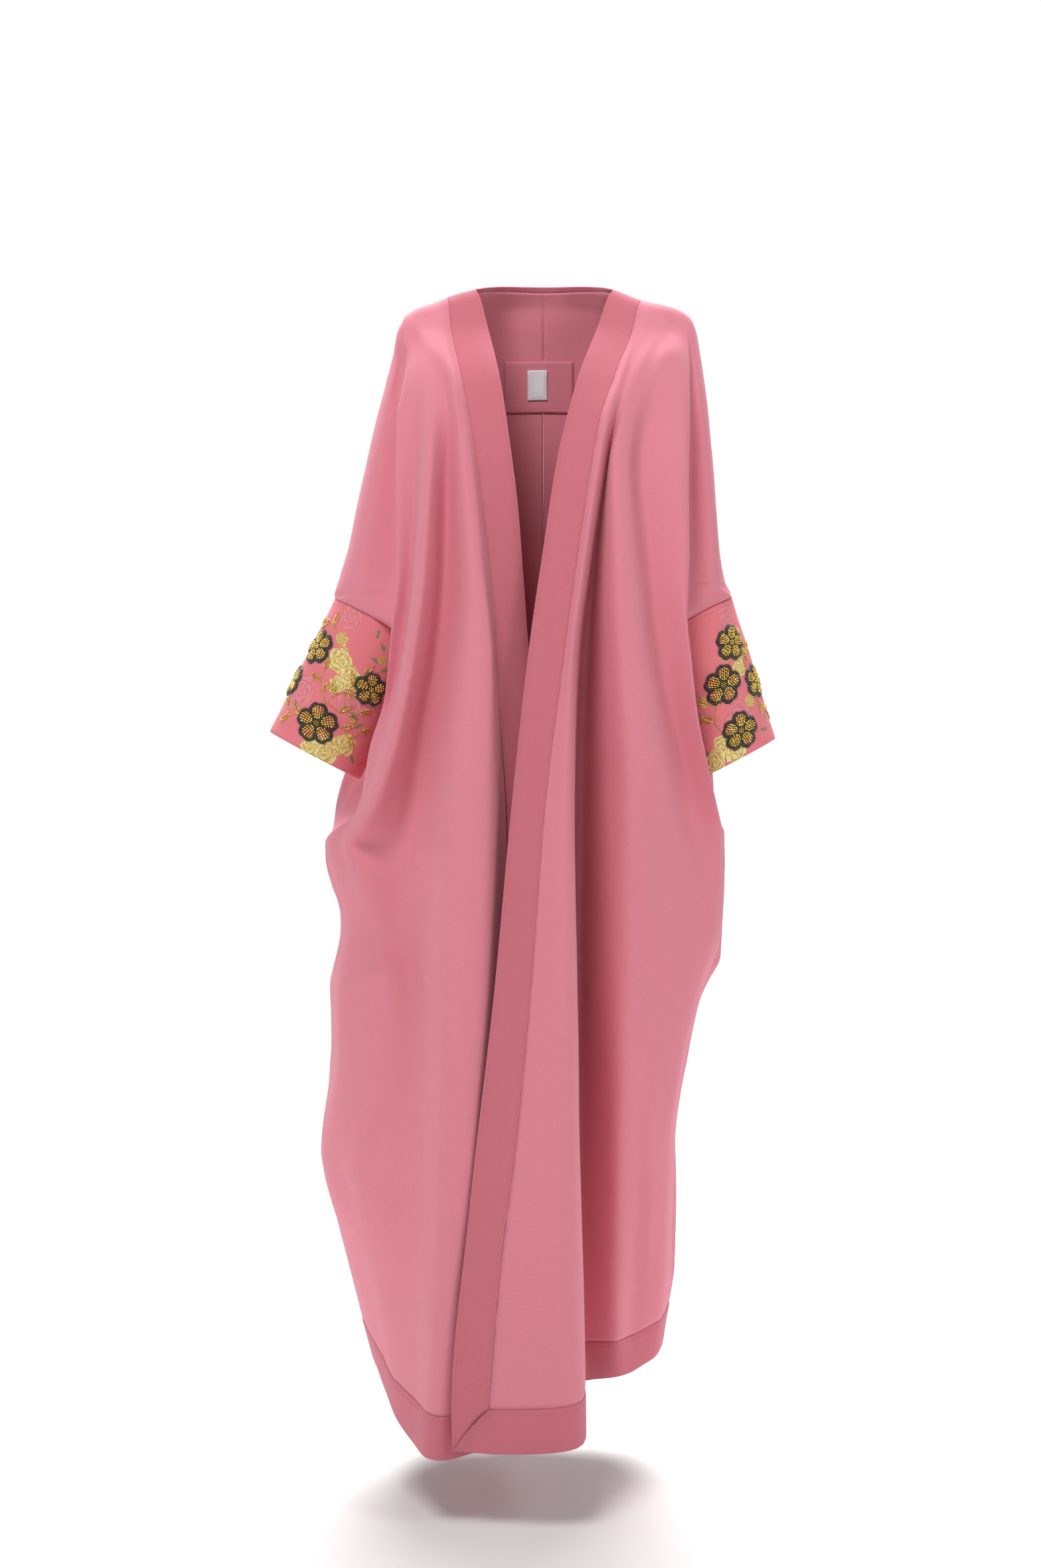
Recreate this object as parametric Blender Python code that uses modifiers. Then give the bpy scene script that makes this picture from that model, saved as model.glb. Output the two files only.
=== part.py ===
"""Embroidered open-front abaya, hanging hollow in the shape it has when worn.

The cloth is one surface. Each half of the garment is described by lines that run from the
shoulder or the neck down to the hem: the free edge of the front band, its seam, the folds of
the front, the outer seam (overarm, cuff ring, underarm, side), the folds of the back and the
centre back. A section joins the lines at one height with a smooth curve. The pieces that a
maker cuts are stretches of that surface: they share its points and stay a seam gap apart.

Frame: +Z up, the front faces -Y, the wearer's left is +X. The origin lies midway between the
shoulders, at the height where they carry the cloth.
"""

import math

import bmesh
import bpy
import numpy as np
from mathutils import Vector

MM = 0.001

# Driving sizes in millimetres
CLOTH_WALL = 1.5
BAND_WALL = 2.0
CUFF_WALL = 2.0
TRIM_WALL = 1.0
SEAM_GAP = 0.5
SHOULDER_GAP = 0.4
TIP_ROWS = 3
HEM_BAND = 50.0
NECK_BINDING = 7.0
CUFF_LENGTH = 182.0
RING_HALF_WIDTH = 62.0
RING_HALF_DEPTH = 52.0
UNDERARM_EASE = 6.0
FLOWER_RISE = 3.0
FLOWER_SEAT = 0.9
PETALS = 5
PETAL_NOTCH = 0.7
NECK_DROPS = (0.0, 1.2, 6.0)
PATCH_SIZE = (88.0, 65.0)
PATCH_CENTRE = (-6.0, -80.0)
LABEL_SIZE = (25.0, 38.0)
LABEL_CENTRE = (-8.0, -78.0)

# The lines of a half, in order round the body
FRONT_LINES = ("free_edge", "band_seam", "edge_fold", "front_a", "front_b", "front_c", "front_d",
               "front_fold", "front_turn", "arm_front", "outer_seam")
BACK_LINES = ("arm_back", "back_turn", "back_fold", "back_d", "back_c", "neck_side", "neck_mid",
              "centre_back")
LINES = FRONT_LINES + BACK_LINES
OUTER_SEAM = LINES.index("outer_seam")
CENTRE_BACK = LINES.index("centre_back")
NECK_SIDE = LINES.index("neck_side")

# The shoulder line, seen from the front. Columns: distance out, height
SHOULDER = {
    "right": ((83, 24), (107, 18), (136, 7), (156, 0), (171, -9), (178, -21), (181, -29)),
    "left": ((83, 24), (101, 17), (119, 10), (148, 4), (164, -1), (181, -13), (187, -29)),
}

# Where each line leaves the shoulder line. Columns: line, distance out
SHOULDER_START = (
    ("free_edge", 87), ("band_seam", 120), ("edge_fold", 128), ("front_a", 136), ("front_b", 145),
    ("front_c", 154), ("front_d", 163), ("front_fold", 171), ("front_turn", 176),
    ("arm_front", 179), ("arm_back", 179), ("back_turn", 175), ("back_fold", 168),
    ("back_d", 148), ("back_c", 118), ("neck_side", 87),
)

# The lines below the shoulder. Columns: height, distance out, depth (front negative)
RIGHT = {
    "free_edge": ((-22, 71, -22), (-117, 51, -83), (-180, 42, -92), (-252, 33, -94),
                  (-341, 26, -94), (-422, 20, -95), (-623, -1, -108), (-1000, 4, -118),
                  (-1370, 24, -138)),
    "band_seam": ((-25, 115, -24), (-116, 97, -80), (-217, 80, -108), (-334, 66, -115),
                  (-429, 59, -120), (-517, 53, -122), (-623, 45, -124), (-800, 42, -126),
                  (-1000, 50, -132), (-1370, 70, -152)),
    "edge_fold": ((-25, 121, -25), (-116, 104, -86), (-217, 88, -120), (-334, 75, -135),
                  (-447, 64, -148), (-564, 67, -160), (-758, 74, -172), (-912, 82, -180),
                  (-1046, 90, -187), (-1198, 109, -195), (-1368, 120, -203)),
    "front_a": ((-25, 127, -27), (-116, 109, -92), (-217, 97, -122), (-368, 86, -142),
                (-447, 93, -152), (-603, 104, -165), (-758, 112, -172), (-912, 118, -178),
                (-1066, 120, -183), (-1218, 128, -188), (-1368, 138, -192)),
    "front_b": ((-25, 138, -26), (-100, 122, -80), (-160, 116, -96), (-287, 118, -90),
                (-366, 123, -88), (-445, 132, -88), (-524, 146, -88), (-603, 156, -86),
                (-683, 168, -84), (-762, 164, -88), (-840, 152, -118), (-916, 150, -130),
                (-1227, 150, -150), (-1362, 155, -152)),
    "front_c": ((-25, 152, -22), (-100, 141, -80), (-169, 137, -108), (-288, 143, -125),
                (-368, 149, -130), (-458, 162, -135), (-537, 178, -135), (-576, 190, -130),
                (-611, 202, -120), (-639, 217, -100), (-662, 236, -68), (-700, 222, -80),
                (-760, 200, -78), (-840, 190, -112), (-920, 193, -112), (-1020, 212, -98),
                (-1060, 222, -90), (-1200, 196, -92), (-1345, 178, -104)),
    "front_d": ((-40, 160, -28), (-120, 156, -78), (-246, 155, -90), (-365, 164, -88),
                (-445, 176, -90), (-485, 184, -94), (-540, 196, -108), (-580, 206, -104),
                (-620, 224, -84), (-660, 248, -48), (-700, 240, -60), (-760, 222, -62),
                (-840, 224, -84), (-920, 225, -88), (-1020, 242, -70), (-1100, 236, -62),
                (-1200, 210, -62), (-1328, 190, -70)),
    "front_fold": ((-60, 170, -38), (-122, 177, -66), (-204, 177, -83), (-325, 176, -92),
                   (-405, 184, -95), (-484, 192, -96), (-544, 210, -92), (-572, 215, -88),
                   (-596, 219, -80), (-622, 228, -66), (-645, 250, -42), (-662, 262, -30),
                   (-700, 254, -40), (-760, 238, -42), (-840, 248, -56), (-920, 248, -60),
                   (-1020, 262, -40), (-1060, 263, -34), (-1150, 240, -30), (-1250, 214, -35),
                   (-1315, 199, -42)),
    "front_turn": ((-60, 173, -28), (-120, 176, -44), (-204, 176, -49), (-325, 178, -54),
                   (-361, 183, -62), (-390, 180, -74), (-405, 175, -76), (-420, 166, -66),
                   (-450, 162, -58), (-500, 168, -52), (-550, 182, -48), (-585, 200, -44),
                   (-622, 228, -34), (-660, 267, -15), (-700, 260, -21), (-760, 246, -22),
                   (-840, 258, -30), (-920, 257, -32), (-1040, 272, -15), (-1150, 247, -6),
                   (-1250, 221, -6), (-1308, 206, -10)),
    "arm_front": ((-60, 182, -24), (-120, 191, -38), (-204, 206, -45), (-325, 226, -49),
                  (-358, 229, -50), (-375, 212, -56), (-390, 196, -62), (-405, 177, -63),
                  (-420, 155, -36), (-450, 143, -31), (-500, 146, -29), (-550, 159, -27),
                  (-585, 180, -26), (-622, 218, -18), (-660, 270, -6), (-700, 263, -8),
                  (-760, 250, -8), (-840, 263, -12), (-920, 262, -12), (-1040, 275, 0),
                  (-1150, 251, 12), (-1250, 226, 16), (-1303, 212, 14)),
    "outer_seam": ((-50, 185, 0), (-99, 197, 0), (-140, 208, 0), (-193, 220, 0), (-247, 232, 0),
                   (-296, 242, 0), (-333, 253, 0), (-360, 260, 0), (-418, 146, 0),
                   (-450, 136, 2), (-500, 136, 2), (-550, 150, 3), (-590, 182, 4),
                   (-622, 220, 5), (-655, 269, 6), (-680, 271, 5), (-711, 264, 4),
                   (-745, 252, 4), (-781, 252, 4), (-838, 265, 4), (-891, 262, 5),
                   (-932, 265, 8), (-982, 268, 10), (-1043, 277, 14), (-1093, 264, 20),
                   (-1138, 256, 25), (-1183, 244, 30), (-1250, 228, 35), (-1300, 214, 38)),
    "arm_back": ((-60, 183, 24), (-120, 192, 40), (-204, 207, 50), (-325, 227, 53),
                 (-358, 229, 54), (-375, 212, 58), (-390, 196, 62), (-405, 177, 64),
                 (-420, 155, 37), (-450, 146, 33), (-500, 149, 33), (-550, 168, 36),
                 (-585, 204, 34), (-622, 240, 28), (-660, 268, 22), (-700, 262, 20),
                 (-760, 250, 20), (-840, 262, 24), (-920, 261, 28), (-1040, 273, 36),
                 (-1150, 252, 46), (-1250, 226, 56), (-1300, 212, 60)),
    "back_turn": ((-60, 174, 44), (-120, 172, 66), (-204, 174, 76), (-325, 180, 78),
                  (-390, 180, 82), (-420, 170, 78), (-450, 168, 70), (-500, 180, 67),
                  (-550, 210, 66), (-585, 238, 60), (-622, 256, 48), (-660, 266, 38),
                  (-700, 258, 38), (-760, 246, 42), (-840, 258, 46), (-1040, 268, 62),
                  (-1150, 246, 74), (-1250, 220, 84), (-1302, 206, 86)),
    "back_fold": ((-40, 162, 40), (-60, 161, 56), (-120, 164, 82), (-204, 170, 97),
                  (-325, 180, 101), (-420, 198, 101), (-500, 218, 98), (-550, 242, 88),
                  (-585, 256, 78), (-622, 262, 66), (-660, 262, 58), (-760, 238, 72),
                  (-840, 246, 76), (-1040, 255, 92), (-1150, 232, 104), (-1310, 192, 118)),
    "back_d": ((-30, 145, 42), (-60, 144, 66), (-120, 143, 92), (-250, 145, 104),
               (-450, 158, 106), (-700, 188, 104), (-900, 186, 118), (-1100, 176, 136),
               (-1325, 160, 158)),
    "back_c": ((-20, 116, 48), (-60, 117, 82), (-120, 118, 104), (-250, 119, 120),
               (-450, 124, 132), (-700, 138, 150), (-1000, 140, 176), (-1345, 128, 200)),
    "neck_side": ((14, 88, 22), (0, 88, 48), (-40, 87, 84), (-120, 86, 108), (-250, 84, 116),
                  (-450, 86, 118), (-700, 90, 124), (-1000, 92, 150), (-1350, 88, 176)),
    "neck_mid": ((38, 58, 55), (0, 53, 88), (-40, 52, 104), (-120, 50, 118), (-250, 46, 126),
                 (-450, 46, 133), (-700, 48, 147), (-1000, 52, 173), (-1355, 52, 203)),
    "centre_back": ((42, 0, 78), (0, 0, 95), (-40, 0, 103), (-120, 0, 113), (-250, 0, 119),
                    (-450, 0, 123), (-700, 0, 132), (-1000, 0, 156), (-1355, 0, 186)),
}

LEFT = {
    "free_edge": ((-22, 67, -24), (-107, 37, -78), (-196, 15, -100), (-318, -4, -120),
                  (-423, -19, -135), (-603, -39, -154), (-827, -60, -173), (-1083, -89, -193),
                  (-1309, -109, -211), (-1354, -108, -214)),
    "band_seam": ((-29, 108, -28), (-100, 82, -78), (-144, 67, -100), (-226, 52, -120),
                  (-312, 39, -132), (-449, 20, -147), (-623, -2, -161), (-816, -17, -177),
                  (-987, -33, -191), (-1158, -54, -205), (-1356, -70, -220)),
    "edge_fold": ((-29, 114, -29), (-100, 90, -84), (-144, 75, -106), (-226, 60, -125),
                  (-312, 47, -138), (-449, 30, -153), (-564, 26, -163), (-642, 25, -170),
                  (-834, 28, -186), (-1005, 30, -199), (-1157, 33, -209), (-1350, 35, -218)),
    "front_a": ((-29, 121, -30), (-100, 98, -80), (-144, 86, -96), (-226, 72, -92),
                (-312, 60, -76), (-449, 48, -50), (-564, 44, -36), (-720, 42, -26),
                (-900, 40, -18), (-1100, 40, 0), (-1335, 44, 28)),
    "front_b": ((-29, 134, -28), (-90, 110, -76), (-150, 92, -104), (-209, 80, -117),
                (-289, 82, -124), (-368, 84, -127), (-446, 89, -129), (-525, 95, -130),
                (-603, 99, -126), (-761, 98, -112), (-922, 93, -90), (-1088, 88, -50),
                (-1261, 88, -2), (-1328, 90, 28)),
    "front_c": ((-29, 148, -24), (-90, 124, -74), (-150, 106, -98), (-209, 98, -111),
                (-289, 104, -119), (-368, 109, -122), (-446, 118, -122), (-525, 132, -117),
                (-603, 140, -108), (-680, 140, -100), (-761, 135, -92), (-860, 128, -82),
                (-1000, 120, -55), (-1150, 112, -15), (-1325, 108, 38)),
    "front_d": ((-29, 160, -20), (-70, 146, -62), (-120, 130, -80), (-206, 115, -86),
                (-286, 122, -86), (-365, 130, -84), (-445, 141, -80), (-524, 158, -72),
                (-604, 176, -58), (-685, 192, -40), (-722, 190, -44), (-800, 165, -66),
                (-900, 150, -58), (-1050, 136, -30), (-1200, 130, 10), (-1318, 124, 48)),
    "front_fold": ((-38, 176, -22), (-79, 175, -48), (-122, 173, -68), (-205, 172, -88),
                   (-285, 171, -95), (-365, 168, -98), (-445, 175, -98), (-504, 182, -96),
                   (-544, 190, -92), (-584, 200, -80), (-620, 209, -62), (-645, 214, -46),
                   (-690, 212, -32), (-770, 205, -36), (-850, 180, -42), (-950, 162, -35),
                   (-1050, 150, -15), (-1200, 148, 22), (-1310, 140, 58)),
    "front_turn": ((-60, 179, -28), (-120, 177, -44), (-205, 176, -48), (-300, 175, -52),
                   (-355, 174, -60), (-387, 165, -75), (-402, 155, -78), (-418, 142, -66),
                   (-450, 134, -58), (-500, 138, -52), (-550, 152, -48), (-590, 178, -38),
                   (-636, 214, -26), (-690, 219, -16), (-770, 213, -19), (-850, 188, -22),
                   (-950, 168, -10), (-1050, 158, 8), (-1200, 156, 42), (-1303, 147, 70)),
    "arm_front": ((-60, 186, -26), (-120, 192, -39), (-205, 199, -43), (-300, 206, -47),
                  (-355, 206, -50), (-372, 189, -56), (-387, 172, -62), (-402, 152, -62),
                  (-418, 128, -35), (-450, 117, -29), (-500, 119, -27), (-550, 131, -26),
                  (-590, 162, -22), (-636, 217, -10), (-690, 222, -4), (-770, 218, -3),
                  (-850, 192, 0), (-950, 171, 12), (-1050, 161, 28), (-1200, 160, 62),
                  (-1298, 151, 84)),
    "outer_seam": ((-50, 191, 0), (-91, 197, 0), (-124, 201, 0), (-169, 205, 0), (-214, 209, 0),
                   (-251, 211, 0), (-296, 214, 0), (-340, 223, 0), (-358, 231, 0),
                   (-416, 119, 0), (-450, 110, 3), (-500, 110, 4), (-550, 122, 4),
                   (-590, 152, 5), (-625, 196, 6), (-649, 223, 7), (-686, 223, 7),
                   (-727, 220, 8), (-801, 219, 12), (-834, 203, 14), (-859, 192, 17),
                   (-896, 184, 22), (-932, 178, 28), (-974, 170, 34), (-1031, 164, 44),
                   (-1072, 166, 52), (-1117, 167, 60), (-1199, 166, 76), (-1236, 161, 84),
                   (-1295, 151, 97)),
    "arm_back": ((-60, 186, 26), (-120, 192, 42), (-205, 199, 50), (-300, 206, 53),
                 (-355, 206, 55), (-372, 189, 59), (-387, 172, 63), (-402, 152, 64),
                 (-418, 128, 37), (-450, 119, 34), (-500, 121, 34), (-550, 137, 36),
                 (-590, 174, 32), (-636, 216, 24), (-690, 220, 20), (-770, 216, 24),
                 (-850, 189, 34), (-950, 168, 50), (-1050, 160, 68), (-1200, 158, 98),
                 (-1295, 148, 112)),
    "back_turn": ((-60, 176, 45), (-120, 172, 66), (-205, 171, 76), (-300, 172, 78),
                  (-355, 174, 78), (-387, 168, 82), (-418, 152, 77), (-450, 147, 70),
                  (-500, 158, 67), (-550, 184, 65), (-590, 206, 56), (-636, 212, 44),
                  (-690, 213, 42), (-770, 208, 48), (-850, 181, 60), (-950, 161, 76),
                  (-1050, 152, 94), (-1200, 149, 122), (-1298, 141, 132)),
    "back_fold": ((-40, 164, 40), (-60, 163, 56), (-120, 164, 82), (-205, 168, 97),
                  (-300, 174, 101), (-387, 182, 101), (-450, 190, 99), (-520, 206, 90),
                  (-590, 214, 74), (-636, 208, 66), (-700, 203, 68), (-770, 195, 80),
                  (-850, 170, 94), (-950, 150, 108), (-1050, 141, 122), (-1305, 130, 152)),
    "back_d": ((-30, 146, 42), (-60, 145, 66), (-120, 143, 92), (-250, 144, 104),
               (-450, 150, 108), (-600, 158, 106), (-770, 152, 116), (-900, 136, 128),
               (-1100, 124, 144), (-1320, 114, 166)),
    "back_c": ((-20, 116, 48), (-60, 117, 82), (-120, 118, 104), (-250, 118, 120),
               (-450, 120, 132), (-700, 122, 150), (-850, 112, 160), (-1000, 102, 172),
               (-1335, 94, 196)),
    "neck_side": ((14, 88, 22), (0, 88, 48), (-40, 87, 84), (-120, 86, 108), (-250, 84, 116),
                  (-450, 84, 118), (-700, 82, 124), (-1000, 68, 150), (-1340, 62, 178)),
    "neck_mid": ((38, 58, 55), (0, 53, 88), (-40, 52, 104), (-120, 50, 118), (-250, 46, 126),
                 (-450, 45, 133), (-700, 44, 147), (-1000, 36, 172), (-1345, 34, 200)),
    "centre_back": RIGHT["centre_back"],
}

# Cuff rings. Columns: distance out, height, slope of the ring (degrees), lean of the cuff
RINGS = {"right": (204.0, -389.0, 28.0, 26.0), "left": (176.5, -387.0, 28.0, 17.0)}

# Section heights at the outer seam; the cuff ring adds its own between the arm and the underarm
CHEST_ROWS = 12
ARM_HEIGHTS = (-29, -29.6, -36, -50, -75, -108, -146, -190, -236, -282, -318, -342)
SIDE_HEIGHTS = (-432, -458, -490, -524, -556, -586, -614, -642, -670, -704, -742, -786, -836, -892,
                -956, -1028, -1104, -1180)
RING_STEPS = 6

# Where the columns of a panel lie, counted in lines from the free edge
FRONT_COLUMNS = (1.0, 1.12, 1.5, 2.0, 2.5, 3.0, 3.5, 4.0, 4.5, 5.0, 5.5, 6.0, 6.5, 7.0, 7.5, 8.0, 9.0,
                 9.9, 10.0)
BACK_COLUMNS = (10.0, 10.1, 11.0, 12.0, 12.5, 13.0, 13.5, 14.0, 14.5, 15.0, 15.5, 16.0, 16.06, 16.5,
                17.0, 17.5, 17.93, 18.0)
BAND_COLUMNS = (0.0, 0.5, 0.95, 1.0)
BINDING_END = 16.06

# Beaded flowers on the cuffs. Columns: degrees round from the outer side towards the front,
# distance below the cuff seam, width
FLOWERS = {
    "right": ((35, 62, 44), (12, 112, 40), (80, 145, 48), (118, 78, 40), (200, 120, 42),
              (255, 60, 46), (300, 130, 44)),
    "left": ((50, 50, 42), (76, 92, 46), (26, 106, 40), (72, 152, 44), (190, 62, 42),
             (250, 115, 46), (312, 66, 42)),
}

# Cloth colours. Columns: name, red, green, blue, roughness
CLOTHS = (
    ("pink_cotton", 0.62, 0.17, 0.22, 0.80),
    ("pink_band", 0.50, 0.13, 0.17, 0.80),
    ("rose_jacquard", 0.66, 0.16, 0.19, 0.60),
    ("white_satin", 0.80, 0.80, 0.82, 0.45),
    ("gold_beads", 0.45, 0.30, 0.05, 0.35),
)

SIDES = {"right": (-1.0, RIGHT), "left": (1.0, LEFT)}


def eased(places, values, at):
    """Smooth curve through the rows of a table, without overshoot between them."""
    step = np.diff(places)
    slope = np.diff(values) / step
    tangent = np.zeros(len(places))
    tangent[0], tangent[-1] = slope[0], slope[-1]
    same_way = slope[:-1] * slope[1:] > 0
    tangent[1:-1][same_way] = 2.0 / (1.0 / slope[:-1][same_way] + 1.0 / slope[1:][same_way])
    cell = np.clip(np.searchsorted(places, at, side="right") - 1, 0, len(step) - 1)
    f = (at - places[cell]) / step[cell]
    near = (1 + 2 * f) * (1 - f) ** 2 * values[cell] + f * (1 - f) ** 2 * step[cell] * tangent[cell]
    far = f ** 2 * (3 - 2 * f) * values[cell + 1] - f ** 2 * (1 - f) * step[cell] * tangent[cell + 1]
    return near + far


def across(lines, at):
    """Smooth curve through the lines of each section, level at the centre back."""
    ghost = lines[:, -2:-1] * np.array([-1.0, 1.0, 1.0])
    chord = np.diff(np.concatenate([lines, ghost], axis=1), axis=1)
    step = np.sqrt(np.linalg.norm(chord, axis=2, keepdims=True)) + 1e-6
    slope = chord / step
    inner = (slope[:, 1:] * step[:, :-1] + slope[:, :-1] * step[:, 1:]) / (step[:, 1:] + step[:, :-1])
    tangent = np.concatenate([slope[:, :1], inner, slope[:, -1:]], axis=1)
    at = np.asarray(at)
    cell = np.minimum(at.astype(int), lines.shape[1] - 2)
    f = (at - cell)[None, :, None]
    h = step[:, cell]
    near = (1 + 2 * f) * (1 - f) ** 2 * lines[:, cell] + f * (1 - f) ** 2 * h * tangent[:, cell]
    far = f ** 2 * (3 - 2 * f) * lines[:, cell + 1] - f ** 2 * (1 - f) * h * tangent[:, cell + 1]
    return near + far


def shoulder_height(side, out):
    places, heights = np.array(SHOULDER[side], float).T
    return float(eased(places, heights, np.array([float(out)]))[0])


def line_table(side, name):
    """Rows of one line from its top to the hem edge: height, distance out, depth."""
    table = list(SIDES[side][1][name])
    starts = dict(SHOULDER_START)
    if name in starts:
        table.insert(0, (shoulder_height(side, starts[name]), starts[name], 0.0))
    if name == "outer_seam":
        out, height = SHOULDER[side][-1]
        table.insert(0, (height, out, 0.0))
    return np.array(table, float)


def line_points(side, name, heights):
    """Points of one line; the square root of the drop keeps the shoulder round."""
    table = line_table(side, name)
    drop = np.sqrt(table[0, 0] - table[:, 0])
    at = np.sqrt(np.maximum(table[0, 0] - heights, 0.0))
    out, depth = eased(drop, table[:, 1], at), eased(drop, table[:, 2], at)
    return np.stack([SIDES[side][0] * out, depth, heights], axis=1)


def ring_point(side, turn, along=0.0, scale=1.0):
    """Point of a cuff: turn in radians from the outer side towards the front."""
    out, height, slope, lean = RINGS[side]
    slope, lean = math.radians(slope), math.radians(lean)
    wide = RING_HALF_WIDTH * scale * math.cos(turn)
    x = out + wide * math.cos(slope) + along * math.sin(lean)
    z = height + wide * math.sin(slope) - along * math.cos(lean)
    return (SIDES[side][0] * x, -RING_HALF_DEPTH * scale * math.sin(turn), z)


def on_shoulder(side, grid, at):
    """Lays the first row of a grid on the shoulder line, as far as the neck side."""
    starts = dict(SHOULDER_START)
    outs = [starts.get(name, SHOULDER[side][-1][0]) for name in LINES[:NECK_SIDE + 1]]
    for column, place in enumerate(at):
        if place <= NECK_SIDE:
            out = float(np.interp(place, range(NECK_SIDE + 1), outs))
            grid[0, column] = (SIDES[side][0] * out, 0.0, shoulder_height(side, out))
    return grid


def outer_heights(side):
    ring = [ring_point(side, math.pi * k / RING_STEPS)[2] for k in range(RING_STEPS + 1)]
    hem = line_table(side, "outer_seam")[-1, 0] + HEM_BAND
    return np.array(list(ARM_HEIGHTS) + ring + list(SIDE_HEIGHTS) + [hem])


def section_lines(side, back=False, mitred=False):
    """All lines of a half at each section: sections x lines x 3."""
    outer = outer_heights(side)
    share = (outer[0] - outer) / (outer[0] - outer[-1])
    columns = []
    for name in LINES:
        table = line_table(side, name)
        top, hem = table[0, 0], table[-1, 0] + HEM_BAND
        if mitred and name == "free_edge":
            hem = table[-1, 0]
        columns.append(line_points(side, name, top + (hem - top) * share))
    first = len(ARM_HEIGHTS)
    way = -1.0 if back else 1.0
    for k in range(RING_STEPS + 1):
        turn = way * math.pi * k / RING_STEPS
        columns[OUTER_SEAM][first + k] = ring_point(side, turn)
    columns[OUTER_SEAM][first + RING_STEPS][0] -= SIDES[side][0] * UNDERARM_EASE
    return np.stack(columns, axis=1)


def hem_lines(side, levels):
    """All lines of a half below the hem seam; levels run from 0 to 1 at the edge."""
    columns = []
    for name in LINES:
        seam = line_table(side, name)[-1, 0] + HEM_BAND
        columns.append(line_points(side, name, seam - HEM_BAND * np.asarray(levels)))
    return np.stack(columns, axis=1)


def inset(grid, sides, gap=SEAM_GAP / 2):
    """Draws the named borders of a grid back from the seam."""
    grid = grid.copy()
    borders = {"top": (grid[0], grid[1]), "bottom": (grid[-1], grid[-2]),
               "start": (grid[:, 0], grid[:, 1]), "end": (grid[:, -1], grid[:, -2])}
    for name in sides:
        edge, inner = borders[name]
        way = inner - edge
        length = np.maximum(np.linalg.norm(way, axis=-1, keepdims=True), 1e-6)
        edge += way / length * gap
    return grid


def cloth_material(name):
    material = bpy.data.materials.get(name)
    if material is None:
        material = bpy.data.materials.new(name)
        material.use_nodes = True
        shader = material.node_tree.nodes["Principled BSDF"]
        red, green, blue, roughness = {row[0]: row[1:] for row in CLOTHS}[name]
        shader.inputs["Base Color"].default_value = (red, green, blue, 1.0)
        shader.inputs["Roughness"].default_value = roughness
    return material


def finish_piece(name, mesh, material, wall, offset=0.0):
    """Adds a mesh to the garment's collection as a cloth wall."""
    piece = bpy.data.objects.new(name, mesh)
    bpy.data.collections["abaya"].objects.link(piece)
    mesh.materials.append(cloth_material(material))
    mesh.shade_smooth()
    solid = piece.modifiers.new("wall", "SOLIDIFY")
    solid.thickness = wall * MM
    solid.offset = offset
    return piece


def cloth_piece(name, grid, material, wall, offset=0.0, closed=False):
    """A cloth wall through a grid of points, rows x columns x 3, in millimetres."""
    rows, columns = grid.shape[:2]
    bm = bmesh.new()
    bmesh.ops.create_grid(bm, x_segments=columns - 1, y_segments=rows - 1, size=0.5)
    for vert in bm.verts:
        column = round((vert.co.x + 0.5) * (columns - 1))
        row = round((vert.co.y + 0.5) * (rows - 1))
        vert.co = grid[row, column] * MM
    if closed:
        bmesh.ops.remove_doubles(bm, verts=bm.verts, dist=1e-5)
    mesh = bpy.data.meshes.new(name)
    bm.to_mesh(mesh)
    bm.free()
    return finish_piece(name, mesh, material, wall, offset)


def front_grid(side):
    return on_shoulder(side, across(section_lines(side), FRONT_COLUMNS), FRONT_COLUMNS)


def back_grid(side):
    """Back of one half; its neck edge lies below the binding."""
    grid = on_shoulder(side, across(section_lines(side, back=True), BACK_COLUMNS), BACK_COLUMNS)
    neck = np.array(BACK_COLUMNS) >= BINDING_END
    edge, way = grid[0, neck].copy(), grid[3, neck] - grid[0, neck]
    way /= np.linalg.norm(way, axis=1, keepdims=True)
    for row, below in enumerate(NECK_DROPS):
        grid[row, neck] = edge + way * (NECK_BINDING + SEAM_GAP / 2 + below)
    return grid


def clear_of_overarm(grid, outer, way):
    """Keeps the shoulder row and the overarm column on their own side of the seam."""
    grid[0, :, 1] = way * np.maximum(way * grid[0, :, 1], SHOULDER_GAP)
    outer[:len(ARM_HEIGHTS), 1] = way * SHOULDER_GAP
    outer[:TIP_ROWS, 1] = way * 2 * SHOULDER_GAP


def make_panels(side):
    """Front and back of one half, cut in one with their sleeves."""
    front = inset(front_grid(side), ("top", "bottom", "start", "end"))
    clear_of_overarm(front, front[:, -1], -1.0)
    cloth_piece("front_" + side, front, "pink_cotton", CLOTH_WALL)
    back = inset(back_grid(side), ("top", "bottom", "start", "end"))
    clear_of_overarm(back, back[:, 0], 1.0)
    cloth_piece("back_" + side, back, "pink_cotton", CLOTH_WALL)


def make_band(side):
    """Front band: runs from the shoulder to the hem edge, cut on the mitre below."""
    grid = across(section_lines(side, mitred=True), BAND_COLUMNS)
    grid = on_shoulder(side, grid, BAND_COLUMNS)
    band = inset(grid, ("top", "bottom", "end"))
    band[0, :, 1] = -SHOULDER_GAP
    cloth_piece("band_" + side, band, "pink_band", BAND_WALL)


def make_hems(side):
    """Hem bands of one half; the front one starts on the mitre."""
    levels = (0.0, 0.5, 1.0)
    lines = hem_lines(side, levels)
    rows = []
    for k, level in enumerate(levels):
        columns = (1.0 - level,) + FRONT_COLUMNS[1:]
        rows.append(across(lines[k:k + 1], columns)[0])
    cloth_piece("hem_front_" + side, inset(np.stack(rows), ("top", "start", "end")), "pink_band",
                BAND_WALL)
    back = across(lines, BACK_COLUMNS)
    cloth_piece("hem_back_" + side, inset(back, ("top", "start", "end")), "pink_band", BAND_WALL)


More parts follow.
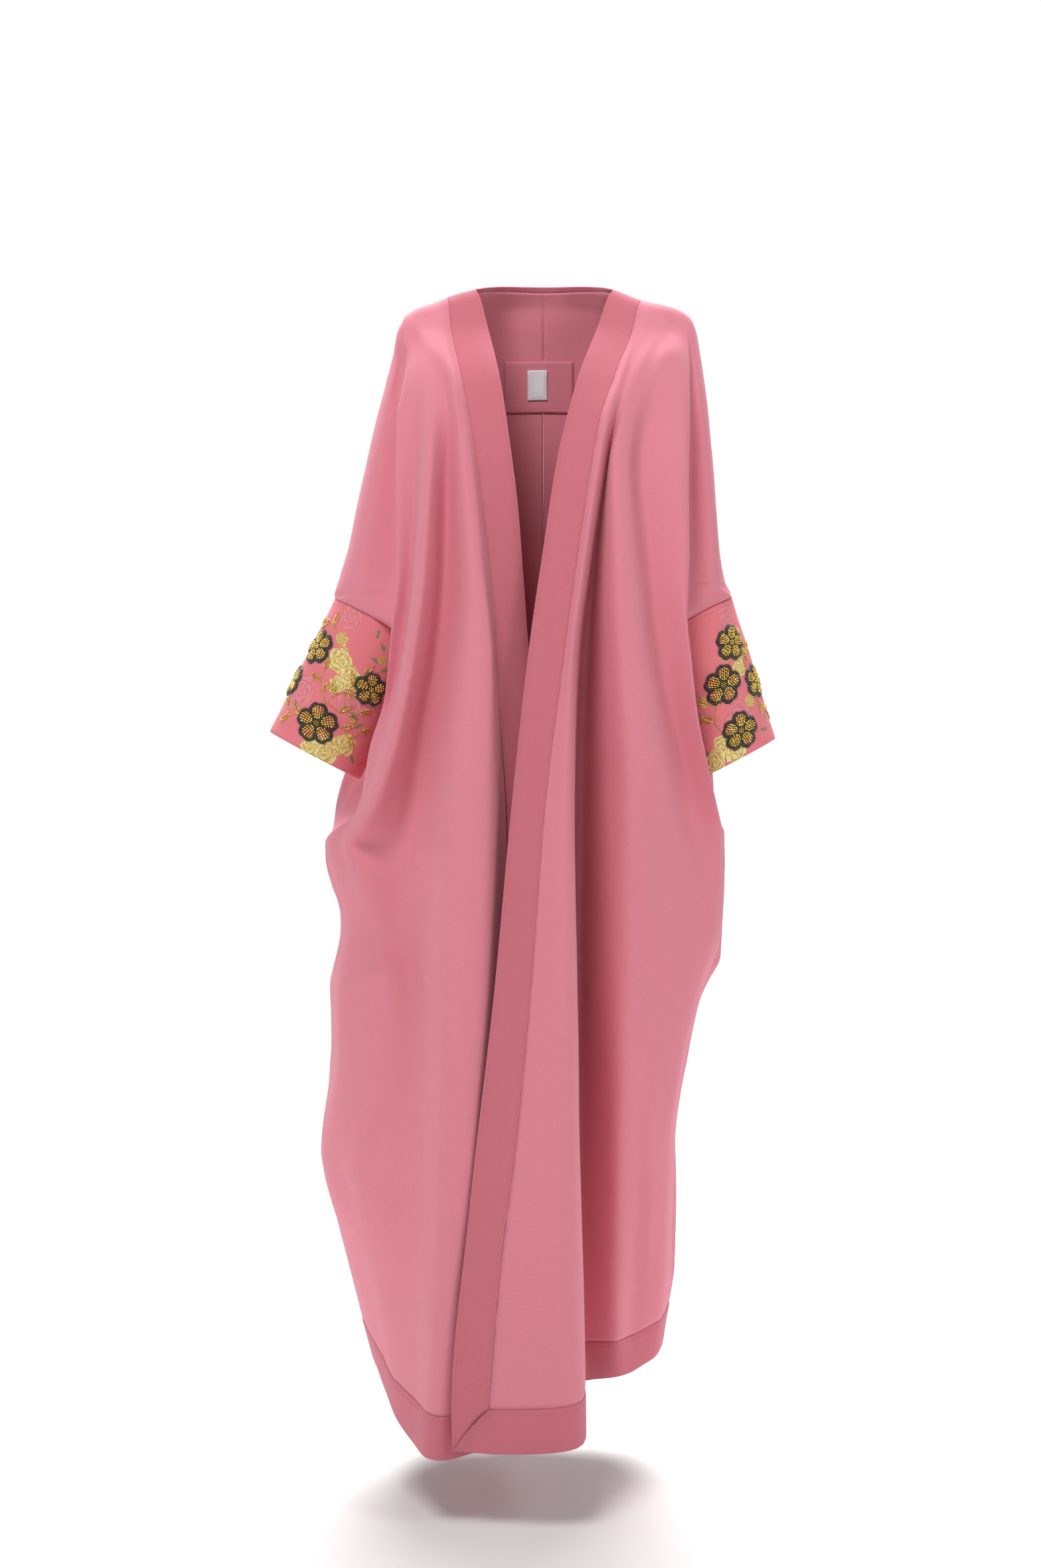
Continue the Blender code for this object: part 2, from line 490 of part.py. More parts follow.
def cuff_grid(side, around, along, scale=1.0):
    """Points of a cuff tube; the last column meets the first."""
    return np.array([[ring_point(side, 2 * math.pi * k / around, length, scale)
                      for k in range(around + 1)] for length in along])


def make_cuff(side):
    lengths = np.linspace(SEAM_GAP + CUFF_WALL / 2, CUFF_LENGTH, 7)
    cloth_piece("cuff_" + side, cuff_grid(side, 24, lengths), "rose_jacquard", CUFF_WALL,
                closed=True)


def make_flowers(side):
    """Beaded flowers: five-lobed raised pieces that lie on the cuff's outer points."""
    lift = 1.0 + (CUFF_WALL / 2 + FLOWER_SEAT) / RING_HALF_WIDTH
    for number, (degrees, along, width) in enumerate(FLOWERS[side], 1):
        bm = bmesh.new()
        bmesh.ops.create_circle(bm, cap_ends=True, cap_tris=True, segments=4 * PETALS,
                                radius=1.0)
        spokes = [e for e in bm.edges if min(v.co.length for v in e.verts) < 0.01]
        bmesh.ops.subdivide_edges(bm, edges=spokes, cuts=1)
        for vert in bm.verts:
            turn = math.atan2(vert.co.y, vert.co.x)
            lobe = PETAL_NOTCH + (1 - PETAL_NOTCH) * abs(math.cos(PETALS * turn / 2))
            radius = width / 2 * vert.co.length * lobe
            round_way = math.radians(degrees) + radius * math.cos(turn) / RING_HALF_WIDTH
            vert.co = [c * MM for c in ring_point(side, round_way,
                                                  along + radius * math.sin(turn), lift)]
        centre = sum((v.co for v in bm.verts), Vector()) / len(bm.verts)
        out = centre - Vector(ring_point(side, 0.0, along, 0.0)) * MM
        bm.normal_update()
        for face in bm.faces:
            if face.normal.dot(out) < 0:
                face.normal_flip()
        mesh = bpy.data.meshes.new("flower")
        bm.to_mesh(mesh)
        bm.free()
        finish_piece(f"flower_{side}_{number}", mesh, "gold_beads", FLOWER_RISE, offset=1.0)


def depth_on(grids, x, z):
    """Depth of the back panels at a place near the centre back."""
    grid = grids["left" if x >= 0 else "right"]
    profile = []
    for row in grid[TIP_ROWS:CHEST_ROWS, BACK_COLUMNS.index(NECK_SIDE):]:
        run = row[np.argsort(row[:, 0])]
        profile.append([np.interp(x, run[:, 0], run[:, 1]), np.interp(x, run[:, 0], run[:, 2])])
    depths, heights = np.array(profile[::-1]).T
    return float(np.interp(z, heights, depths))


def make_on_back(name, size, centre, lift, material, columns, rows):
    """A small piece sewn on the inside of the back, made from the panel's own points."""
    grids = {side: back_grid(side) for side in SIDES}
    xs = centre[0] + np.linspace(-0.5, 0.5, columns) * size[0]
    zs = centre[1] - np.linspace(-0.5, 0.5, rows) * size[1]
    grid = np.array([[(x, depth_on(grids, x, z) - lift, z) for x in xs] for z in zs])
    cloth_piece(name, grid, material, TRIM_WALL)


def make_neck_binding():
    """Narrow binding along the back neck edge, from one band to the other."""
    halves = []
    for side in ("right", "left"):
        run = [place for place in BACK_COLUMNS if place >= BINDING_END]
        rows = across(section_lines(side, back=True)[:4], run)
        way = rows[3] - rows[0]
        way /= np.linalg.norm(way, axis=1, keepdims=True)
        halves.append(np.stack([rows[0], rows[0] + way * (NECK_BINDING - SEAM_GAP / 2)]))
    grid = np.concatenate([halves[0], halves[1][:, -2::-1]], axis=1)
    cloth_piece("neck_binding", inset(grid, ("start", "end"), 2 * SEAM_GAP), "pink_band", BAND_WALL)


def build():
    for thing in list(bpy.data.objects):
        bpy.data.objects.remove(thing)
    garment = bpy.data.collections.new("abaya")
    bpy.context.scene.collection.children.link(garment)
    for side in SIDES:
        make_panels(side)
        make_band(side)
        make_hems(side)
        make_cuff(side)
        make_flowers(side)
    make_neck_binding()
    on_panel = CLOTH_WALL / 2 + SEAM_GAP + TRIM_WALL / 2
    make_on_back("neck_patch", PATCH_SIZE, PATCH_CENTRE, on_panel, "pink_cotton", 9, 5)
    on_patch = on_panel + TRIM_WALL + SEAM_GAP
    make_on_back("neck_label", LABEL_SIZE, LABEL_CENTRE, on_patch, "white_satin", 4, 4)


build()
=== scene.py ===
"""Looks of the embroidered abaya: fine cloth with its folds, seams, woven cuffs and beadwork.

Every cloth piece is built on the lines of its CAD solid at a finer step, then listed creases move
its points in or out. Lengths in the tables are millimetres.
"""

import math

import bmesh
import bpy
import numpy as np
from mathutils import Matrix, Vector, noise


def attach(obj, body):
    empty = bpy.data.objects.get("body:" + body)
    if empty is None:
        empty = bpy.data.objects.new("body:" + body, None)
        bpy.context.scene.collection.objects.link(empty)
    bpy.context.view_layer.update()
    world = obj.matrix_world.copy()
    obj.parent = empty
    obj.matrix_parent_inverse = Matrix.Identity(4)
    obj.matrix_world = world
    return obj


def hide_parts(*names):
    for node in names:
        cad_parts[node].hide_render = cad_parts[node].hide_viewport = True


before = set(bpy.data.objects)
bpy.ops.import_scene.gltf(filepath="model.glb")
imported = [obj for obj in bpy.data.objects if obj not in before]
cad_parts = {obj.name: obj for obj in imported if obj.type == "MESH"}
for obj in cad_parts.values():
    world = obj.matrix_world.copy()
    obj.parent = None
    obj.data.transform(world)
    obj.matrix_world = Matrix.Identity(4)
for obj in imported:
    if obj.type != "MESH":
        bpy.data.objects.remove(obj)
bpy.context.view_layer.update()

MM = 0.001

# The photograph's frame: pixels, and the camera that sees it
PHOTO_SIZE = (1568, 2361)
CAMERA_PLACE = (-0.0296, -3.0, -0.588)
FOCAL_PIXELS = 3653.0
SENSOR = 36.0

# Driving sizes
CLOTH_WALL = 1.2
BAND_WALL = 2.0
CUFF_WALL = 2.0
TRIM_WALL = 1.0
SEAM_GAP = 0.16
SHOULDER_GAP = 0.1
HEM_BAND = 50.0
NECK_BINDING = 7.0
CUFF_LENGTH = 182.0
RING_HALF_WIDTH = 62.0
RING_HALF_DEPTH = 52.0
RING_RADIUS = 57.0
UNDERARM_EASE = 1.0
PATCH_SIZE = (88.0, 65.0)
PATCH_CENTRE = (-6.0, -80.0)
LABEL_SIZE = (25.0, 38.0)
LABEL_CENTRE = (-8.0, -78.0)
ROW_STEP = 5.5

# The lines of a half, in order round the body
FRONT_LINES = ("free_edge", "band_seam", "edge_fold", "front_a", "front_b", "front_c", "front_d",
               "front_fold", "front_turn", "arm_front", "outer_seam")
BACK_LINES = ("arm_back", "back_turn", "back_fold", "back_d", "back_c", "neck_side", "neck_mid",
              "centre_back")
LINES = FRONT_LINES + BACK_LINES
OUTER_SEAM = LINES.index("outer_seam")
CENTRE_BACK = LINES.index("centre_back")
NECK_SIDE = LINES.index("neck_side")

# The shoulder line, seen from the front. Columns: distance out, height
SHOULDER = {
    "right": ((83, 24), (107, 18), (136, 7), (156, 0), (171, -9), (178, -21), (181, -29)),
    "left": ((83, 24), (101, 17), (119, 10), (148, 4), (164, -1), (181, -13), (187, -29)),
}

# Where each line leaves the shoulder line. Columns: line, distance out
SHOULDER_START = (
    ("free_edge", 87), ("band_seam", 120), ("edge_fold", 128), ("front_a", 136), ("front_b", 145),
    ("front_c", 154), ("front_d", 163), ("front_fold", 171), ("front_turn", 176),
    ("arm_front", 179), ("arm_back", 179), ("back_turn", 175), ("back_fold", 168),
    ("back_d", 148), ("back_c", 118), ("neck_side", 87),
)

# The lines below the shoulder. Columns: height, distance out, depth (front negative)
RIGHT = {
    "free_edge": ((-22, 71, -22), (-117, 51, -83), (-180, 42, -92), (-252, 33, -94),
                  (-341, 26, -94), (-422, 20, -95), (-623, -1, -108), (-1000, 4, -118),
                  (-1370, 24, -138)),
    "band_seam": ((-25, 115, -24), (-116, 97, -80), (-217, 80, -108), (-334, 66, -115),
                  (-429, 59, -120), (-517, 53, -122), (-623, 45, -124), (-800, 42, -126),
                  (-1000, 50, -132), (-1370, 70, -152)),
    "edge_fold": ((-25, 121, -25), (-116, 104, -86), (-217, 88, -120), (-334, 75, -135),
                  (-447, 64, -148), (-564, 67, -160), (-758, 74, -172), (-912, 82, -180),
                  (-1046, 90, -187), (-1198, 109, -195), (-1368, 120, -203)),
    "front_a": ((-25, 127, -27), (-116, 109, -92), (-217, 97, -122), (-368, 86, -142),
                (-447, 93, -152), (-603, 104, -165), (-758, 112, -172), (-912, 118, -178),
                (-1066, 120, -183), (-1218, 128, -188), (-1368, 138, -192)),
    "front_b": ((-25, 138, -26), (-100, 122, -80), (-160, 116, -96), (-287, 118, -90),
                (-366, 123, -88), (-445, 132, -88), (-524, 146, -88), (-603, 156, -86),
                (-683, 168, -84), (-762, 164, -88), (-840, 152, -118), (-916, 150, -130),
                (-1227, 150, -150), (-1362, 155, -152)),
    "front_c": ((-25, 152, -22), (-100, 141, -80), (-169, 137, -108), (-288, 143, -125),
                (-368, 149, -130), (-458, 162, -135), (-537, 178, -135), (-576, 190, -130),
                (-611, 202, -120), (-639, 217, -100), (-662, 236, -68), (-700, 222, -80),
                (-760, 200, -78), (-840, 190, -112), (-920, 193, -112), (-1020, 212, -98),
                (-1060, 222, -90), (-1200, 196, -92), (-1345, 178, -104)),
    "front_d": ((-40, 160, -28), (-120, 156, -78), (-246, 155, -90), (-365, 164, -88),
                (-445, 176, -90), (-485, 184, -94), (-540, 196, -108), (-580, 206, -104),
                (-620, 224, -84), (-660, 248, -48), (-700, 240, -60), (-760, 222, -62),
                (-840, 224, -84), (-920, 225, -88), (-1020, 242, -70), (-1100, 236, -62),
                (-1200, 210, -62), (-1328, 190, -70)),
    "front_fold": ((-60, 170, -38), (-122, 177, -66), (-204, 177, -83), (-325, 176, -92),
                   (-405, 184, -95), (-484, 192, -96), (-544, 210, -92), (-572, 215, -88),
                   (-596, 219, -80), (-622, 228, -66), (-645, 250, -42), (-662, 262, -30),
                   (-700, 254, -40), (-760, 238, -42), (-840, 248, -56), (-920, 248, -60),
                   (-1020, 262, -40), (-1060, 263, -34), (-1150, 240, -30), (-1250, 214, -35),
                   (-1315, 199, -42)),
    "front_turn": ((-60, 173, -28), (-120, 176, -44), (-204, 176, -49), (-325, 178, -54),
                   (-361, 183, -62), (-390, 180, -74), (-405, 175, -76), (-420, 166, -66),
                   (-450, 162, -58), (-500, 168, -52), (-550, 182, -48), (-585, 200, -44),
                   (-622, 228, -34), (-660, 267, -15), (-700, 260, -21), (-760, 246, -22),
                   (-840, 258, -30), (-920, 257, -32), (-1040, 272, -15), (-1150, 247, -6),
                   (-1250, 221, -6), (-1308, 206, -10)),
    "arm_front": ((-60, 182, -24), (-120, 191, -38), (-204, 206, -45), (-325, 226, -49),
                  (-358, 229, -50), (-375, 212, -56), (-390, 196, -62), (-405, 177, -63),
                  (-420, 155, -36), (-450, 143, -31), (-500, 146, -29), (-550, 159, -27),
                  (-585, 180, -26), (-622, 218, -18), (-660, 270, -6), (-700, 263, -8),
                  (-760, 250, -8), (-840, 263, -12), (-920, 262, -12), (-1040, 275, 0),
                  (-1150, 251, 12), (-1250, 226, 16), (-1303, 212, 14)),
    "outer_seam": ((-50, 185, 0), (-99, 197, 0), (-140, 208, 0), (-193, 220, 0), (-247, 232, 0),
                   (-296, 242, 0), (-333, 253, 0), (-360, 260, 0), (-418, 146, 0),
                   (-450, 136, 2), (-500, 136, 2), (-550, 150, 3), (-590, 182, 4),
                   (-622, 220, 5), (-655, 269, 6), (-680, 271, 5), (-711, 264, 4),
                   (-745, 252, 4), (-781, 252, 4), (-838, 265, 4), (-891, 262, 5),
                   (-932, 265, 8), (-982, 268, 10), (-1043, 277, 14), (-1093, 264, 20),
                   (-1138, 256, 25), (-1183, 244, 30), (-1250, 228, 35), (-1300, 214, 38)),
    "arm_back": ((-60, 183, 24), (-120, 192, 40), (-204, 207, 50), (-325, 227, 53),
                 (-358, 229, 54), (-375, 212, 58), (-390, 196, 62), (-405, 177, 64),
                 (-420, 155, 37), (-450, 146, 33), (-500, 149, 33), (-550, 168, 36),
                 (-585, 204, 34), (-622, 240, 28), (-660, 268, 22), (-700, 262, 20),
                 (-760, 250, 20), (-840, 262, 24), (-920, 261, 28), (-1040, 273, 36),
                 (-1150, 252, 46), (-1250, 226, 56), (-1300, 212, 60)),
    "back_turn": ((-60, 174, 44), (-120, 172, 66), (-204, 174, 76), (-325, 180, 78),
                  (-390, 180, 82), (-420, 170, 78), (-450, 168, 70), (-500, 180, 67),
                  (-550, 210, 66), (-585, 238, 60), (-622, 256, 48), (-660, 266, 38),
                  (-700, 258, 38), (-760, 246, 42), (-840, 258, 46), (-1040, 268, 62),
                  (-1150, 246, 74), (-1250, 220, 84), (-1302, 206, 86)),
    "back_fold": ((-40, 162, 40), (-60, 161, 56), (-120, 164, 82), (-204, 170, 97),
                  (-325, 180, 101), (-420, 198, 101), (-500, 218, 98), (-550, 242, 88),
                  (-585, 256, 78), (-622, 262, 66), (-660, 262, 58), (-760, 238, 72),
                  (-840, 246, 76), (-1040, 255, 92), (-1150, 232, 104), (-1310, 192, 118)),
    "back_d": ((-30, 145, 42), (-60, 144, 66), (-120, 143, 92), (-250, 145, 104),
               (-450, 158, 106), (-700, 188, 104), (-900, 186, 118), (-1100, 176, 136),
               (-1325, 160, 158)),
    "back_c": ((-20, 116, 48), (-60, 117, 82), (-120, 118, 104), (-250, 119, 120),
               (-450, 124, 132), (-700, 138, 150), (-1000, 140, 176), (-1345, 128, 200)),
    "neck_side": ((14, 88, 22), (0, 88, 48), (-40, 87, 84), (-120, 86, 108), (-250, 84, 116),
                  (-450, 86, 118), (-700, 90, 124), (-1000, 92, 150), (-1350, 88, 176)),
    "neck_mid": ((38, 58, 55), (0, 53, 88), (-40, 52, 104), (-120, 50, 118), (-250, 46, 126),
                 (-450, 46, 133), (-700, 48, 147), (-1000, 52, 173), (-1355, 52, 203)),
    "centre_back": ((42, 0, 78), (0, 0, 95), (-40, 0, 103), (-120, 0, 113), (-250, 0, 119),
                    (-450, 0, 123), (-700, 0, 132), (-1000, 0, 156), (-1355, 0, 186)),
}

LEFT = {
    "free_edge": ((-22, 67, -24), (-107, 37, -78), (-196, 15, -100), (-318, -4, -120),
                  (-423, -19, -135), (-603, -39, -154), (-827, -60, -173), (-1083, -89, -193),
                  (-1309, -109, -211), (-1354, -108, -214)),
    "band_seam": ((-29, 108, -28), (-100, 82, -78), (-144, 67, -100), (-226, 52, -120),
                  (-312, 39, -132), (-449, 20, -147), (-623, -2, -161), (-816, -17, -177),
                  (-987, -33, -191), (-1158, -54, -205), (-1356, -70, -220)),
    "edge_fold": ((-29, 114, -29), (-100, 90, -84), (-144, 75, -106), (-226, 60, -125),
                  (-312, 47, -138), (-449, 30, -153), (-564, 26, -163), (-642, 25, -170),
                  (-834, 28, -186), (-1005, 30, -199), (-1157, 33, -209), (-1350, 35, -218)),
    "front_a": ((-29, 121, -30), (-100, 98, -80), (-144, 86, -96), (-226, 72, -92),
                (-312, 60, -76), (-449, 48, -50), (-564, 44, -36), (-720, 42, -26),
                (-900, 40, -18), (-1100, 40, 0), (-1335, 44, 28)),
    "front_b": ((-29, 134, -28), (-90, 110, -76), (-150, 92, -104), (-209, 80, -117),
                (-289, 82, -124), (-368, 84, -127), (-446, 89, -129), (-525, 95, -130),
                (-603, 99, -126), (-761, 98, -112), (-922, 93, -90), (-1088, 88, -50),
                (-1261, 88, -2), (-1328, 90, 28)),
    "front_c": ((-29, 148, -24), (-90, 124, -74), (-150, 106, -98), (-209, 98, -111),
                (-289, 104, -119), (-368, 109, -122), (-446, 118, -122), (-525, 132, -117),
                (-603, 140, -108), (-680, 140, -100), (-761, 135, -92), (-860, 128, -82),
                (-1000, 120, -55), (-1150, 112, -15), (-1325, 108, 38)),
    "front_d": ((-29, 160, -20), (-70, 146, -62), (-120, 130, -80), (-206, 115, -86),
                (-286, 122, -86), (-365, 130, -84), (-445, 141, -80), (-524, 158, -72),
                (-604, 176, -58), (-685, 192, -40), (-722, 190, -44), (-800, 165, -66),
                (-900, 150, -58), (-1050, 136, -30), (-1200, 130, 10), (-1318, 124, 48)),
    "front_fold": ((-38, 176, -22), (-79, 175, -48), (-122, 173, -68), (-205, 172, -88),
                   (-285, 171, -95), (-365, 168, -98), (-445, 175, -98), (-504, 182, -96),
                   (-544, 190, -92), (-584, 200, -80), (-620, 209, -62), (-645, 214, -46),
                   (-690, 212, -32), (-770, 205, -36), (-850, 180, -42), (-950, 162, -35),
                   (-1050, 150, -15), (-1200, 148, 22), (-1310, 140, 58)),
    "front_turn": ((-60, 179, -28), (-120, 177, -44), (-205, 176, -48), (-300, 175, -52),
                   (-355, 174, -60), (-387, 165, -75), (-402, 155, -78), (-418, 142, -66),
                   (-450, 134, -58), (-500, 138, -52), (-550, 152, -48), (-590, 178, -38),
                   (-636, 214, -26), (-690, 219, -16), (-770, 213, -19), (-850, 188, -22),
                   (-950, 168, -10), (-1050, 158, 8), (-1200, 156, 42), (-1303, 147, 70)),
    "arm_front": ((-60, 186, -26), (-120, 192, -39), (-205, 199, -43), (-300, 206, -47),
                  (-355, 206, -50), (-372, 189, -56), (-387, 172, -62), (-402, 152, -62),
                  (-418, 128, -35), (-450, 117, -29), (-500, 119, -27), (-550, 131, -26),
                  (-590, 162, -22), (-636, 217, -10), (-690, 222, -4), (-770, 218, -3),
                  (-850, 192, 0), (-950, 171, 12), (-1050, 161, 28), (-1200, 160, 62),
                  (-1298, 151, 84)),
    "outer_seam": ((-50, 191, 0), (-91, 197, 0), (-124, 201, 0), (-169, 205, 0), (-214, 209, 0),
                   (-251, 211, 0), (-296, 214, 0), (-340, 223, 0), (-358, 231, 0),
                   (-416, 119, 0), (-450, 110, 3), (-500, 110, 4), (-550, 122, 4),
                   (-590, 152, 5), (-625, 196, 6), (-649, 223, 7), (-686, 223, 7),
                   (-727, 220, 8), (-801, 219, 12), (-834, 203, 14), (-859, 192, 17),
                   (-896, 184, 22), (-932, 178, 28), (-974, 170, 34), (-1031, 164, 44),
                   (-1072, 166, 52), (-1117, 167, 60), (-1199, 166, 76), (-1236, 161, 84),
                   (-1295, 151, 97)),
    "arm_back": ((-60, 186, 26), (-120, 192, 42), (-205, 199, 50), (-300, 206, 53),
                 (-355, 206, 55), (-372, 189, 59), (-387, 172, 63), (-402, 152, 64),
                 (-418, 128, 37), (-450, 119, 34), (-500, 121, 34), (-550, 137, 36),
                 (-590, 174, 32), (-636, 216, 24), (-690, 220, 20), (-770, 216, 24),
                 (-850, 189, 34), (-950, 168, 50), (-1050, 160, 68), (-1200, 158, 98),
                 (-1295, 148, 112)),
    "back_turn": ((-60, 176, 45), (-120, 172, 66), (-205, 171, 76), (-300, 172, 78),
                  (-355, 174, 78), (-387, 168, 82), (-418, 152, 77), (-450, 147, 70),
                  (-500, 158, 67), (-550, 184, 65), (-590, 206, 56), (-636, 212, 44),
                  (-690, 213, 42), (-770, 208, 48), (-850, 181, 60), (-950, 161, 76),
                  (-1050, 152, 94), (-1200, 149, 122), (-1298, 141, 132)),
    "back_fold": ((-40, 164, 40), (-60, 163, 56), (-120, 164, 82), (-205, 168, 97),
                  (-300, 174, 101), (-387, 182, 101), (-450, 190, 99), (-520, 206, 90),
                  (-590, 214, 74), (-636, 208, 66), (-700, 203, 68), (-770, 195, 80),
                  (-850, 170, 94), (-950, 150, 108), (-1050, 141, 122), (-1305, 130, 152)),
    "back_d": ((-30, 146, 42), (-60, 145, 66), (-120, 143, 92), (-250, 144, 104),
               (-450, 150, 108), (-600, 158, 106), (-770, 152, 116), (-900, 136, 128),
               (-1100, 124, 144), (-1320, 114, 166)),
    "back_c": ((-20, 116, 48), (-60, 117, 82), (-120, 118, 104), (-250, 118, 120),
               (-450, 120, 132), (-700, 122, 150), (-850, 112, 160), (-1000, 102, 172),
               (-1335, 94, 196)),
    "neck_side": ((14, 88, 22), (0, 88, 48), (-40, 87, 84), (-120, 86, 108), (-250, 84, 116),
                  (-450, 84, 118), (-700, 82, 124), (-1000, 68, 150), (-1340, 62, 178)),
    "neck_mid": ((38, 58, 55), (0, 53, 88), (-40, 52, 104), (-120, 50, 118), (-250, 46, 126),
                 (-450, 45, 133), (-700, 44, 147), (-1000, 36, 172), (-1345, 34, 200)),
    "centre_back": RIGHT["centre_back"],
}

# Cuff rings. Columns: distance out, height, slope of the ring (degrees), lean of the cuff
RINGS = {"right": (204.0, -389.0, 28.0, 26.0), "left": (176.5, -387.0, 28.0, 17.0)}

# Section heights at the outer seam; the cuff ring adds its own between the arm and the underarm
CHEST_ROWS = 12
ARM_HEIGHTS = (-29, -29.6, -36, -50, -75, -108, -146, -190, -236, -282, -318, -342)
SIDE_HEIGHTS = (-432, -458, -490, -524, -556, -586, -614, -642, -670, -704, -742, -786, -836, -892,
                -956, -1028, -1104, -1180)
RING_STEPS = 6

# Cuff rings. Columns: distance out, height, slope of the ring (degrees), lean of the cuff
RINGS = {"right": (204.0, -389.0, 28.0, 26.0), "left": (176.5, -387.0, 28.0, 17.0)}

# Section heights at the outer seam; the cuff ring adds its own between the arm and the underarm
NECK_HEIGHT = -50
ARM_HEIGHTS = (-29, -29.6, -36, NECK_HEIGHT, -75, -108, -146, -190, -236, -282, -318, -342)
SIDE_HEIGHTS = (-432, -458, -490, -524, -556, -586, -614, -642, -670, -704, -742, -786, -836, -892,
                -956, -1028, -1104, -1180)
RING_STEPS = 24

# Where the columns of a panel lie, counted in lines from the free edge
BINDING_END = 16.06
FRONT_COLUMNS = tuple(np.round(np.arange(1.0, 10.01, 0.1), 3))
BACK_COLUMNS = tuple(sorted(set(np.round(np.arange(10.0, 18.01, 0.1), 3)) | {BINDING_END}))
BAND_COLUMNS = (0.0, 0.015, 0.04, 0.09, 0.16, 0.25, 0.35, 0.45, 0.55, 0.65, 0.75, 0.84, 0.9, 0.94,
                0.97, 0.99, 1.0)

SIDES = {"right": (-1.0, RIGHT), "left": (1.0, LEFT)}

# Creases of the front, placed in the photograph's pixels and laid on the cloth behind them.
# Columns: rise in mm (below zero for a valley), half width in mm, lean to one side, places
FRONT_CREASES = {
    "right": (
        (2.2, 9, 0.3, ((612, 470), (650, 520), (690, 580), (706, 640))),
        (-5.0, 8, 0.0, ((606, 520), (601, 560), (598, 615))),
        (1.8, 10, 0.0, ((640, 470), (668, 540), (680, 620))),
        (2.0, 9, 0.4, ((700, 640), (694, 740), (700, 860), (706, 980))),
        (-2.0, 8, 0.0, ((668, 640), (662, 760), (664, 900))),
        (2.6, 9, 0.5, ((650, 655), (638, 780), (626, 900), (615, 1015), (597, 1115), (580, 1168),
                       (563, 1212), (543, 1246), (518, 1272), (493, 1288))),
        (-2.4, 8, 0.3, ((632, 1010), (618, 1100), (602, 1170), (584, 1225), (560, 1262), (530, 1290))),
        (3.0, 8, 0.6, ((642, 1270), (630, 1325), (620, 1380), (612, 1440))),
        (-2.5, 9, 0.0, ((655, 1290), (646, 1350), (640, 1420))),
        (2.4, 8, 0.5, ((608, 1446), (575, 1464), (535, 1480), (500, 1492))),
        (-2.2, 8, 0.0, ((600, 1475), (560, 1494), (515, 1508))),
        (2.4, 11, 0.3, ((577, 1600), (556, 1680), (540, 1740), (530, 1790))),
        (-2.0, 10, 0.0, ((590, 1640), (570, 1720), (556, 1790))),
        (2.0, 12, 0.2, ((690, 1240), (696, 1400), (690, 1560), (684, 1720))),
        (1.5, 12, 0.0, ((640, 1760), (632, 1900), (640, 2050))),
        (-1.6, 10, 0.0, ((668, 1800), (664, 1920), (668, 2060))),
        (1.3, 6, 0.0, ((718, 1190), (700, 1200), (672, 1204))),
        (-1.2, 5, 0.0, ((722, 1208), (702, 1216), (676, 1222))),
    ),
    "left": (
        (2.0, 9, 0.3, ((1010, 485), (972, 540), (935, 600), (905, 660))),
        (1.8, 9, 0.0, ((985, 640), (992, 760), (996, 900), (1002, 1020))),
        (-2.2, 8, 0.0, ((958, 660), (960, 780), (962, 900))),
        (2.8, 8, 0.5, ((980, 1095), (1000, 1175), (1015, 1228), (1035, 1285), (1056, 1335),
                       (1072, 1375), (1082, 1405))),
        (-2.5, 8, 0.0, ((960, 1120), (980, 1200), (998, 1262), (1018, 1322), (1040, 1376))),
        (2.0, 10, 0.2, ((970, 1200), (975, 1300), (983, 1378), (994, 1428), (1012, 1478))),
        (-1.8, 9, 0.0, ((950, 1240), (956, 1350), (968, 1440))),
        (2.0, 12, 0.2, ((920, 1180), (924, 1340), (932, 1500), (940, 1680))),
        (-1.6, 10, 0.0, ((900, 1500), (904, 1700), (912, 1900))),
        (1.8, 11, 0.0, ((972, 1560), (978, 1700), (976, 1860), (980, 2000))),
        (1.8, 8, 0.4, ((1080, 1470), (1062, 1520), (1040, 1560))),
        (-2.0, 7, 0.0, ((1084, 1500), (1070, 1545), (1052, 1588))),
        (-2.4, 8, 0.0, ((1046, 620), (1040, 720), (1042, 840))),
    ),
}

# Creases of the back, seen from behind. Columns: rise, half width, lean, places as x and height
BACK_CREASES = {
    "right": (
        (2.2, 12, 0.3, ((-150, -60), (-110, -130), (-80, -200), (-66, -280))),
        (-2.6, 11, 0.0, ((-176, -120), (-150, -220), (-138, -340), (-134, -460))),
        (2.6, 12, 0.4, ((-206, -470), (-180, -540), (-150, -640), (-132, -760), (-124, -900))),
        (-2.4, 11, 0.0, ((-240, -600), (-205, -650), (-172, -740), (-160, -860))),
        (2.4, 10, 0.4, ((-256, -690), (-222, -740), (-200, -830), (-196, -950))),
        (-2.2, 12, 0.0, ((-70, -420), (-74, -600), (-66, -800), (-72, -1000))),
        (2.0, 14, 0.2, ((-104, -880), (-112, -1050), (-106, -1250))),
        (-2.0, 12, 0.0, ((-24, -300), (-30, -520), (-22, -760), (-28, -980))),
        (1.8, 12, 0.3, ((-235, -880), (-215, -980), (-190, -1100))),
    ),
    "left": (
        (2.2, 12, -0.3, ((152, -60), (114, -130), (84, -210), (70, -300))),
        (-2.6, 11, 0.0, ((172, -120), (150, -220), (138, -340), (130, -470))),
        (2.6, 12, -0.4, ((190, -480), (160, -560), (136, -660), (118, -780), (104, -920))),
        (-2.4, 11, 0.0, ((206, -620), (176, -680), (150, -770), (132, -880))),
        (-2.2, 12, 0.0, ((66, -420), (70, -600), (58, -800), (48, -1010))),
        (2.0, 14, -0.2, ((96, -900), (84, -1060), (76, -1240))),
        (2.0, 12, 0.0, ((26, -360), (32, -560), (24, -800), (22, -1040))),
        (1.8, 12, -0.3, ((196, -760), (172, -850), (146, -960))),
    ),
}

